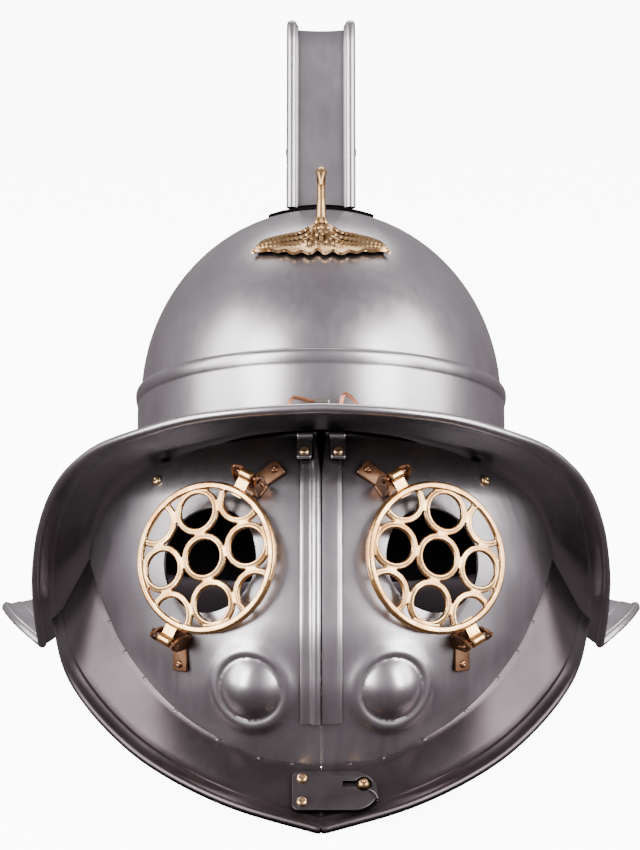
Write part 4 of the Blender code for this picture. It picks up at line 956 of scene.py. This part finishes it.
def collar_section(along):
    """A section across the collar: out along its front, round the rim, back behind it, and a lap
    behind the face plate."""
    root = collar_root(along)
    rim = collar_rim(along)
    run = (collar_rim(min(along + 0.01, 1)) - collar_rim(max(along - 0.01, 0))).normalized()
    reach = rim - root
    way = (reach - run * reach.dot(run)).normalized()
    front = way.cross(run).normalized()
    if front.y > 0:
        front.negate()
    root = root + reach.normalized() * 2 * gap
    neck = rim - reach.normalized() * bead
    length = (neck - root).length
    inner = max(length - border, 0.45 * length)
    shares = [inner * i / 8 / length for i in range(9)]
    shares += [min((inner + step * mm) / length, 1) for step in (0.5, 1.0, 1.5, 2.0, 3.5)]
    outside = []
    for share in shares:
        fold = 1.4 * border_rise * smooth_step(0, 2 * mm, share * length - inner)
        outside.append(root.lerp(neck, share) + front * fold)
    section = list(outside)
    for i in range(13):
        a = math.radians(140 - 22.5 * i)
        section.append(rim + (way * math.cos(a) + front * math.sin(a)) * bead)
    section += [root.lerp(neck, share) - front * sheet for share in reversed(shares)]
    inward = Vector((eye_x - root.x, eye_z - root.z)).normalized() * lap
    behind, out = face_point(root.x + inward.x, root.z + inward.y)
    section += [behind - out * (sheet + depth) for depth in (1.2 * mm, 0.15 * mm)]
    return section + [section[0]], front


# The collar's steel is a far darker copy of the face steel: painted shade, over the collar's own
# warmer tone.
collar_steel_painted_shade = steel("collar_steel_painted_shade", "#61585b", "#544c4f", 0.34)
for side, word in halves:
    columns = []
    for i in range(collar_steps + 1):
        section, front = collar_section(i / collar_steps)
        middle = collar_root(0).lerp(collar_rim(0), 0.5) - front * sheet
        column = []
        for point in section:
            if i == 0:
                point = point.lerp(middle, split_shrink)
            point = lift_to_floor(point)
            point.x = max(point.x, face_split / 2)
            column.append(mirrored(side, point))
        columns.append(column)
    bm = grid_mesh(columns)
    bmesh.ops.holes_fill(bm, edges=[edge for edge in bm.edges if edge.is_boundary], sides=0)
    face_outward(bm)
    parts = [bm]
    for i in range(weld_spots):
        along = 0.07 + 0.86 * i / (weld_spots - 1) + 0.02 * math.sin(5 * i)
        front = mirrored(side, collar_section(along)[1])
        spot = turned(weld_profile, 14)
        bmesh.ops.scale(spot, vec=weld_stretch, verts=spot.verts)
        parts.append(placed(spot, frame_at(mirrored(side, collar_root(along)), front)))
    collar = make_piece("collar_flare_" + word, join(*parts), collar_steel_painted_shade)
    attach(collar, "visor_" + word)
    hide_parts("collar_" + word)

# Centre strips: a flat strip is welded along the centre edge of each face plate. The left one has
# a rounded ridge beside the split, the right one a low step. A riveted strap tops each of them.
strip_rows = 120
strip_top = 4 * mm
strip_bottom_margin = 22 * mm
strip_width = 11 * mm
strip_lift = 1.7 * mm
strip_sheet = 1.1 * mm
# Height over the strip's own face, in millimetres, by the distance from the split
left_ridge = [(0.0, -0.5), (0.5, 0.9), (1.3, 1.7), (2.4, 2.0), (3.5, 1.8), (4.5, 1.2), (5.2, 0.4),
              (5.7, 0.05), (6.4, 0.0), (8.5, 0.0), (10.0, 0.0), (10.7, -0.3), (11.0, -0.9)]
right_step = [(0.0, -0.9), (0.5, 0.1), (1.5, 0.25), (4.5, 0.3), (7.6, 0.25), (8.3, 0.2),
              (8.6, -0.35), (8.9, -0.45), (10.2, -0.5), (10.8, -0.8), (11.0, -1.1)]
strip_steel = steel("strip_steel", "#d2ccd0", "#c2bcc0", 0.31)
for side, word, profile in ((-1, "left", left_ridge), (1, "right", right_step)):
    top = face_edge(face_upper, 0) - strip_top
    bottom = face_edge(face_lower, 0) + strip_bottom_margin
    columns = []
    for step in range(strip_rows + 1):
        z = top + (bottom - top) * step / strip_rows
        column = []
        for distance, height in profile:
            x = split_half(z) + (strip_width - split_half(z)) * distance / profile[-1][0]
            point, out = face_point(x, z)
            column.append(mirrored(side, point + out * (strip_lift + height * mm)))
        columns.append(column)
    bm = thickened(faced_out(grid_mesh(columns), inside), strip_sheet)
    strip = make_piece("centre_strip_" + word, bm, strip_steel)
    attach(strip, "visor_" + word)
    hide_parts("seam_strip_" + word)

tab_x = 8.5 * mm
tab_width = 8 * mm
tab_height = 13 * mm
tab_drop = 13.5 * mm
tab_lift = 4.4 * mm
knuckle_radius = 2.2 * mm


def rounded_plate(width, height, thickness, corner):
    """A flat plate with round corners and softened edges, standing on z = 0."""
    outline = []
    for i in range(4):
        cx = (width / 2 - corner) * (1 if i in (0, 3) else -1)
        cy = (height / 2 - corner) * (1 if i < 2 else -1)
        for k in range(7):
            a = math.radians(90 * i + 15 * k)
            outline.append((cx + corner * math.cos(a), cy + corner * math.sin(a), 0))
    bm = block(outline, (0, 0, thickness))
    upper = [edge for edge in bm.edges if all(v.co.z > thickness / 2 for v in edge.verts)]
    bmesh.ops.bevel(bm, geom=upper, offset=thickness * 0.3, segments=3, profile=0.5,
                    affect="EDGES", material=-1)
    face_outward(bm)
    return bm


for side, word in halves:
    point, out = face_point(tab_x, face_edge(face_upper, 0) - tab_drop)
    out = mirrored(side, out)
    seat = frame_at(mirrored(side, point) + out * tab_lift, out)
    strap = rounded_plate(tab_width, tab_height, sheet, 1.4 * mm)
    roll = [Vector((tab_width / 2 * (i / 6 - 1), tab_height / 2 + sheet, sheet)) for i in range(13)]
    curl = swept(roll, knuckle_radius, [0.9] + [1] * 11 + [0.9], sides=6)
    tab = make_piece("top_strap_" + word, placed(join(strap, curl), seat), strip_steel)
    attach(tab, "visor_" + word)
    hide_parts("tab_" + word)
    head = rivet(seat @ Matrix.Translation((0, -0.2 * tab_height, sheet)), rivet_radius)
    head = make_piece("top_strap_rivet_" + word, head, rivet_brass)
    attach(head, "visor_" + word)
    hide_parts("tab_rivet_" + word)

# Hinges: at each upper outer edge a strap comes down from under the brim, between two knuckles of
# a leaf behind the face plate. A brass rivet through the plate holds the leaf.
hinge_x = 88 * mm
hinge_rivet_drop = 8 * mm
for side, word in halves:
    point, out = face_point(hinge_x, face_edge(face_upper, hinge_x) - hinge_rivet_drop)
    head = rivet(frame_at(mirrored(side, point), mirrored(side, out)), rivet_radius, 2.1 * mm)
    head = make_piece("hinge_pin_" + word, head, rivet_brass)
    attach(head, "visor_" + word)
    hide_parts("hinge_rivet_" + word)
    for node in ("hinge_leaf_", "hinge_bracket_"):
        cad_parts[node + word].material_slots[0].material = strip_steel

# Grilles: round eye guards of cast brass, slightly domed. Nine rings touch each other inside a
# raised border, so that round holes, half moons, diamonds and triangles stay open between them.
grille_standoff = 6 * mm
grille_radius = 40.3 * mm
grille_field = 36.5 * mm
grille_sheet = 2.4 * mm
grille_dome = 2.2 * mm
grille_hole = 9.2 * mm
grille_spacing = 25 * mm
grille_band = grille_hole + 3.5 * mm
grille_turn = 11
eye_turn = 24
lug_angle = 61
lug_reach = 7.7 * mm
lug_centre = grille_radius + lug_reach
lug_width = 8 * mm
lug_barrel = 3 * mm
tongue_width = lug_width * 0.84
tongue_root = 5 * mm
tongue_sheet = 1.8 * mm


def arc(centre, radius, start, end, steps):
    """Points on a circle from one point to another, the short way, without the last."""
    first = math.atan2(start[1] - centre[1], start[0] - centre[0])
    last = math.atan2(end[1] - centre[1], end[0] - centre[0])
    sweep = (last - first + math.pi) % (2 * math.pi) - math.pi
    return [(centre[0] + radius * math.cos(first + sweep * i / steps),
             centre[1] + radius * math.sin(first + sweep * i / steps)) for i in range(steps)]


def meet(first, first_radius, second, second_radius):
    """The two points where two circles meet."""
    dx = second[0] - first[0]
    dy = second[1] - first[1]
    apart = math.hypot(dx, dy)
    along = (first_radius ** 2 - second_radius ** 2 + apart ** 2) / (2 * apart)
    aside = math.sqrt(max(first_radius ** 2 - along ** 2, 0.0))
    middle = (first[0] + dx * along / apart, first[1] + dy * along / apart)
    return [(middle[0] - sign * dy * aside / apart, middle[1] + sign * dx * aside / apart)
            for sign in (1, -1)]


def grille_gaps():
    """Outlines of the gaps: round holes, half moons, diamonds and small triangles."""
    gaps = []
    half = grille_spacing / 2
    waist = math.sqrt(grille_band ** 2 - half ** 2)
    for cx, cy in ((0, 0), (1, 0), (0, 1), (-1, 0), (0, -1)):
        angles = [2 * math.pi * i / 48 for i in range(48)]
        gaps.append([(cx * grille_spacing + grille_hole * math.cos(a),
                      cy * grille_spacing + grille_hole * math.sin(a)) for a in angles])
    for sx in (-1, 1):
        for sy in (-1, 1):
            corner = (sx * grille_spacing, sy * grille_spacing)
            tips = meet((0, 0), grille_field, corner, grille_hole)
            diagonal = grille_hole * math.sqrt(0.5)
            inner = (corner[0] - sx * diagonal, corner[1] - sy * diagonal)
            gaps.append(arc(corner, grille_hole, tips[0], inner, 10)
                        + arc(corner, grille_hole, inner, tips[1], 10)
                        + arc((0, 0), grille_field, tips[1], tips[0], 12))
            ring = [(sx * grille_spacing, 0), corner, (0, sy * grille_spacing), (0, 0)]
            tips = [(sx * half, sy * waist), (sx * (grille_spacing - waist), sy * half),
                    (sx * half, sy * (grille_spacing - waist)), (sx * waist, sy * half)]
            diamond = []
            for i, centre in enumerate(ring):
                diamond += arc(centre, grille_band, tips[i], tips[(i + 1) % 4], 8)
            gaps.append(diamond)
            for edge in ((sx * grille_spacing, 0), (0, sy * grille_spacing)):
                toward = Vector(edge).normalized()
                aside = Vector(corner) - Vector(edge)
                tip = Vector(edge) + aside / 2 + toward * waist
                by_edge = max(meet((0, 0), grille_field, edge, grille_band),
                              key=lambda p: Vector(p).dot(aside))
                by_corner = max(meet((0, 0), grille_field, corner, grille_band),
                                key=lambda p: Vector(p).dot(toward))
                gaps.append(arc(edge, grille_band, tip, by_edge, 8)
                            + arc((0, 0), grille_field, by_edge, by_corner, 8)
                            + arc(corner, grille_band, by_corner, tip, 8))
    return gaps


def cut_sheet(outlines, thickness, bevel, fill=0.0):
    """A flat sheet with holes from outlines, the outer one first, with softened edges."""
    curve = bpy.data.curves.new("sheet", "CURVE")
    adjust(curve, dimensions="2D", fill_mode="BOTH", extrude=thickness / 2 - bevel,
           bevel_depth=bevel, bevel_resolution=2, offset=-bevel)
    for outline in outlines:
        turn = sum(a[0] * b[1] - a[1] * b[0] for a, b in zip(outline, outline[1:] + outline[:1]))
        outline = outline if turn > 0 else outline[::-1]
        spline = curve.splines.new("POLY")
        spline.points.add(len(outline) - 1)
        for knot, (x, y) in zip(spline.points, outline):
            knot.co = (x, y, 0, 1)
        spline.use_cyclic_u = True
    guide = add_object("sheet", curve)
    if fill:
        adjust(guide.modifiers.new("remesh", "REMESH"), mode="VOXEL", voxel_size=fill)
        adjust(guide.modifiers.new("smooth", "SMOOTH"), factor=0.5, iterations=4)
    graph = bpy.context.evaluated_depsgraph_get()
    mesh = bpy.data.meshes.new_from_object(guide.evaluated_get(graph), depsgraph=graph)
    return taken_from(guide, mesh, 0.01 * mm)


def grille_place(side):
    point = Vector((side * eye_x, face_y(eye_x, eye_z) - grille_standoff, eye_z))
    turn = math.radians(eye_turn)
    return frame_at(point, Vector((side * math.sin(turn), -math.cos(turn), 0)))


def lug_direction(side, where):
    """The way from a grille's centre to a lug, in its own plane."""
    angle = math.radians(lug_angle)
    way = Vector((-side * math.cos(angle), math.sin(angle), 0))
    return way if where == "upper" else -way


cast_brass = brass("cast_brass", "#e9bf86", "#c9935c", 0.26, 1.2 * mm)
outer = [(grille_radius * math.cos(math.radians(3 * i)), grille_radius * math.sin(math.radians(3 * i)))
         for i in range(120)]
grille_mould = cut_sheet([outer] + grille_gaps(), grille_sheet, 0.2 * mm, fill=0.5 * mm)
for vert in grille_mould.verts:
    away = vert.co.xy.length
    front = smooth_step(-0.3 * mm, 0.6 * mm, vert.co.z)
    border = smooth_step(grille_field - 1.0 * mm, grille_field + 0.6 * mm, away)
    border *= 1 - smooth_step(grille_radius - 1.0 * mm, grille_radius, away)
    lip = 0.0
    for cx in (-1, 0, 1):
        for cy in (-1, 0, 1):
            off = (vert.co.xy - Vector((cx, cy)) * grille_spacing).length - grille_hole
            lip = max(lip, math.exp(-((off - 0.9 * mm) / (0.9 * mm)) ** 2))
    dome = grille_dome * (1 - (away / grille_radius) ** 2)
    vert.co.z += dome + front * (0.95 * mm * border + 0.4 * mm * lip * (1 - border))
face_outward(grille_mould)

for side, word in halves:
    seat = grille_place(side)
    guard = grille_mould.copy()
    spin = Matrix.Rotation(math.radians(-side * grille_turn), 4, "Z")
    placed(guard, seat @ spin)
    parts = [guard]
    for where in ("upper", "lower"):
        way = lug_direction(side, where)
        across = Vector((-way.y, way.x, 0))
        turn = Matrix((across, way, across.cross(way))).transposed().to_4x4()
        tongue = rounded_plate(tongue_width, lug_reach + tongue_root, tongue_sheet, 1 * mm)
        middle = Matrix.Translation((0, lug_centre - lug_reach / 2 - 2 * mm, -tongue_sheet / 2))
        placed(tongue, seat @ turn @ middle)
        barrel = swept([seat @ (way * lug_centre + across * lug_width / 2 * (i / 5 - 1))
                        for i in range(11)], lug_barrel, [0.86] + [1] * 9 + [0.86], sides=7)
        parts += [tongue, barrel]
    grille = make_piece("eye_grille_" + word, join(*parts), cast_brass, 60)
    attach(grille, "visor_" + word)
    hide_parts("grille_" + word)
grille_mould.free()

# Grille brackets: at each lug a brown brass strap is riveted to the face plate and points away from
# the grille. Two ears folded up, each with an eye slit, hold the lug on a wire pin with bent ends.
ear_width = 8 * mm
ear_place = 5.6 * mm
ear_sheet = 1.3 * mm
ear_overhang = 4.2 * mm
strap_length = 22 * mm
strap_width = 9.5 * mm
strap_reach = 7 * mm
strap_lean = 20
strap_sheet = 1.2 * mm
strap_rivet_radius = 2.0 * mm
strap_rivet_rise = 1.3 * mm
ear_splay = 7
eye_half_width = 1.2 * mm
eye_half_height = 2.4 * mm
pin_radius = 0.9 * mm
# The pin's bends in millimetres: along it, toward the grille's edge, and out from the lug's middle
pin_bends = [(-9.2, 0.4, 2.2), (-8.6, 0, 0.3), (-6.8, 0, 0), (0, 0, 0), (7, 0, 0),
             (9.6, -0.3, -0.5), (10.8, -1.0, -2.0)]
brown_brass = brass("brown_brass", "#a97f62", "#6e4c36", 0.32, 1.5 * mm)
# Stands an ear, drawn flat, up from its strap
upright_ear = Matrix(((0, 0, 1, 0), (1, 0, 0, 0), (0, 1, 0, 0), (0, 0, 0, 1)))
for side, word in halves:
    guard_seat = grille_place(side)
    for where in ("upper", "lower"):
        way = lug_direction(side, where)
        centre = guard_seat @ (way * lug_centre)
        point, out = face_point(abs(centre.x), centre.z)
        for _ in range(6):
            out = mirrored(side, out)
            foot = centre - out * (centre - mirrored(side, point)).dot(out)
            point, out = face_point(abs(foot.x), foot.z)
        point = mirrored(side, point)
        out = mirrored(side, out)
        stand = (centre - point).dot(out)
        seat = frame_at(point, out, (guard_seat.to_3x3() @ way).normalized())
        lean_in = strap_lean * side * (1 if where == "upper" else -1)
        swing = Matrix.Rotation(math.radians(lean_in), 4, "Z")
        strap = rounded_plate(strap_width, strap_length, strap_sheet, 1.2 * mm)
        placed(strap, swing @ Matrix.Translation((0, strap_reach, 0)))
        spot = swing @ Matrix.Translation((0, strap_reach * 2, strap_sheet))
        bar = rounded_plate(2 * ear_place + 2.4 * mm, ear_width, strap_sheet, 1.2 * mm)
        parts = [strap, bar, rivet(spot, strap_rivet_radius, strap_rivet_rise)]
        for sign in (-1, 1):
            peak = stand + ear_overhang
            half = ear_width / 2
            outline = [(-half, 0), (half, 0), (half * 1.05, peak * 0.62), (half * 0.55, peak * 0.88),
                       (0.8 * mm, peak), (-0.8 * mm, peak), (-half * 0.55, peak * 0.88),
                       (-half * 1.05, peak * 0.62)]
            slit = [(eye_half_width * math.cos(a), stand + eye_half_height * math.sin(a))
                    for a in [math.radians(22.5 * i) for i in range(16)]]
            ear = cut_sheet([outline, slit], ear_sheet, 0.25 * mm)
            splay = Matrix.Rotation(math.radians(sign * ear_splay), 4, "Y")
            fold = Matrix.Translation((sign * ear_place, 0, 0)) @ splay @ upright_ear
            parts.append(placed(ear, fold))
        knots = [Vector(bend_point) * mm + Vector((0, 0, stand)) for bend_point in pin_bends]
        parts.append(swept(smooth_path(knots, 4), pin_radius, sides=3))
        bm = placed(join(*parts), seat)
        bracket = make_piece("grille_clip_%s_%s" % (where, word), bm, brown_brass)
        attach(bracket, "visor_" + word)
        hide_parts("grille_bracket_%s_%s" % (where, word))

# Clasp: a steel plate riveted to the left collar spans the split. Its keyhole drops over a brass
# stud on the right collar, and a slit runs on from the hole, with one lip bent up.
clasp_left = -15 * mm
clasp_right = 29 * mm
clasp_height = 25 * mm
clasp_corner = 3.5 * mm
clasp_place = 0.42
clasp_lift = 0.7 * mm
clasp_rivet_x = -10 * mm
clasp_rivet_span = 15 * mm
stud_x = 22 * mm
stud_y = 0.175 * clasp_height
stud_radius = 3.1 * mm
keyhole_radius = 4.5 * mm
keyhole_slot = 4 * mm
keyhole_length = 11 * mm
slit_turn = -52
slit_length = 7.5 * mm
lip_radius = 0.45 * mm
half = clasp_height / 2
root = collar_root(0)
rim = collar_rim(0)
down = (rim - root).normalized()
out = Vector((0, down.z, -down.y))
clasp_seat = frame_at(root.lerp(rim, clasp_place) + out * clasp_lift, out, -down)
outline = [(clasp_left + clasp_corner * (1 - math.sin(a)), -half + clasp_corner * (1 - math.cos(a)))
           for a in [math.radians(15 * i) for i in range(6, -1, -1)]]
outline += [(clasp_right - half + half * math.sin(a), -half * math.cos(a))
            for a in [math.radians(7.5 * i) for i in range(25)]]
outline += [(clasp_left + clasp_corner * (1 - math.sin(a)), half - clasp_corner * (1 - math.cos(a)))
            for a in [math.radians(15 * i) for i in range(7)]]


def by_keyhole(angle, beyond=0.0):
    """A point at the keyhole's round edge or beyond it, by the angle in degrees."""
    reach = keyhole_radius + beyond
    return (stud_x + reach * math.cos(math.radians(angle)),
            stud_y + reach * math.sin(math.radians(angle)))


first = 180 - math.degrees(math.asin(keyhole_slot / 2 / keyhole_radius))
keyhole_step = 2 * first / 36
keyhole = []
for i in range(37):
    angle = first - keyhole_step * i
    keyhole.append(by_keyhole(angle))
    if angle > slit_turn >= angle - keyhole_step:
        for turn, beyond in ((4, 0), (0.6, slit_length), (-0.6, slit_length), (-4, 0)):
            keyhole.append(by_keyhole(slit_turn - 3 + turn, beyond))
keyhole += [(stud_x - keyhole_length, stud_y - keyhole_slot / 2),
            (stud_x - keyhole_length, stud_y + keyhole_slot / 2)]
clasp_steel = steel("clasp_steel", "#6c6568", "#5d5659", 0.38, 0.1 * mm)
plate = cut_sheet([outline, keyhole], sheet, 0.28 * mm)
bmesh.ops.translate(plate, vec=(0, 0, sheet / 2), verts=plate.verts)
lip = []
for i in range(9):
    swell = math.sin(math.pi * i / 8)
    spot = by_keyhole(slit_turn - 1 + 5 * swell, 0.3 * mm + (slit_length - 0.2 * mm) * i / 8)
    lip.append(Vector((*spot, sheet + 0.7 * mm * swell)))
plate = placed(join(plate, swept(lip, lip_radius, sides=3)), clasp_seat)
plate = make_piece("clasp_keyhole_plate", plate, clasp_steel)
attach(plate, "visor_left")
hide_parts("clasp_plate")
for sign, word in ((1, "upper"), (-1, "lower")):
    spot = Matrix.Translation((clasp_rivet_x, sign * clasp_rivet_span / 2, sheet))
    head = make_piece("clasp_pin_" + word, rivet(clasp_seat @ spot), rivet_brass)
    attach(head, "visor_left")
    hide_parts("clasp_rivet_" + word)
spot = clasp_seat @ Matrix.Translation((stud_x, stud_y, -0.2 * mm))
stud = make_piece("keyhole_stud", rivet(spot, stud_radius, sheet + 2 * mm), rivet_brass)
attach(stud, "visor_right")
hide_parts("clasp_stud")
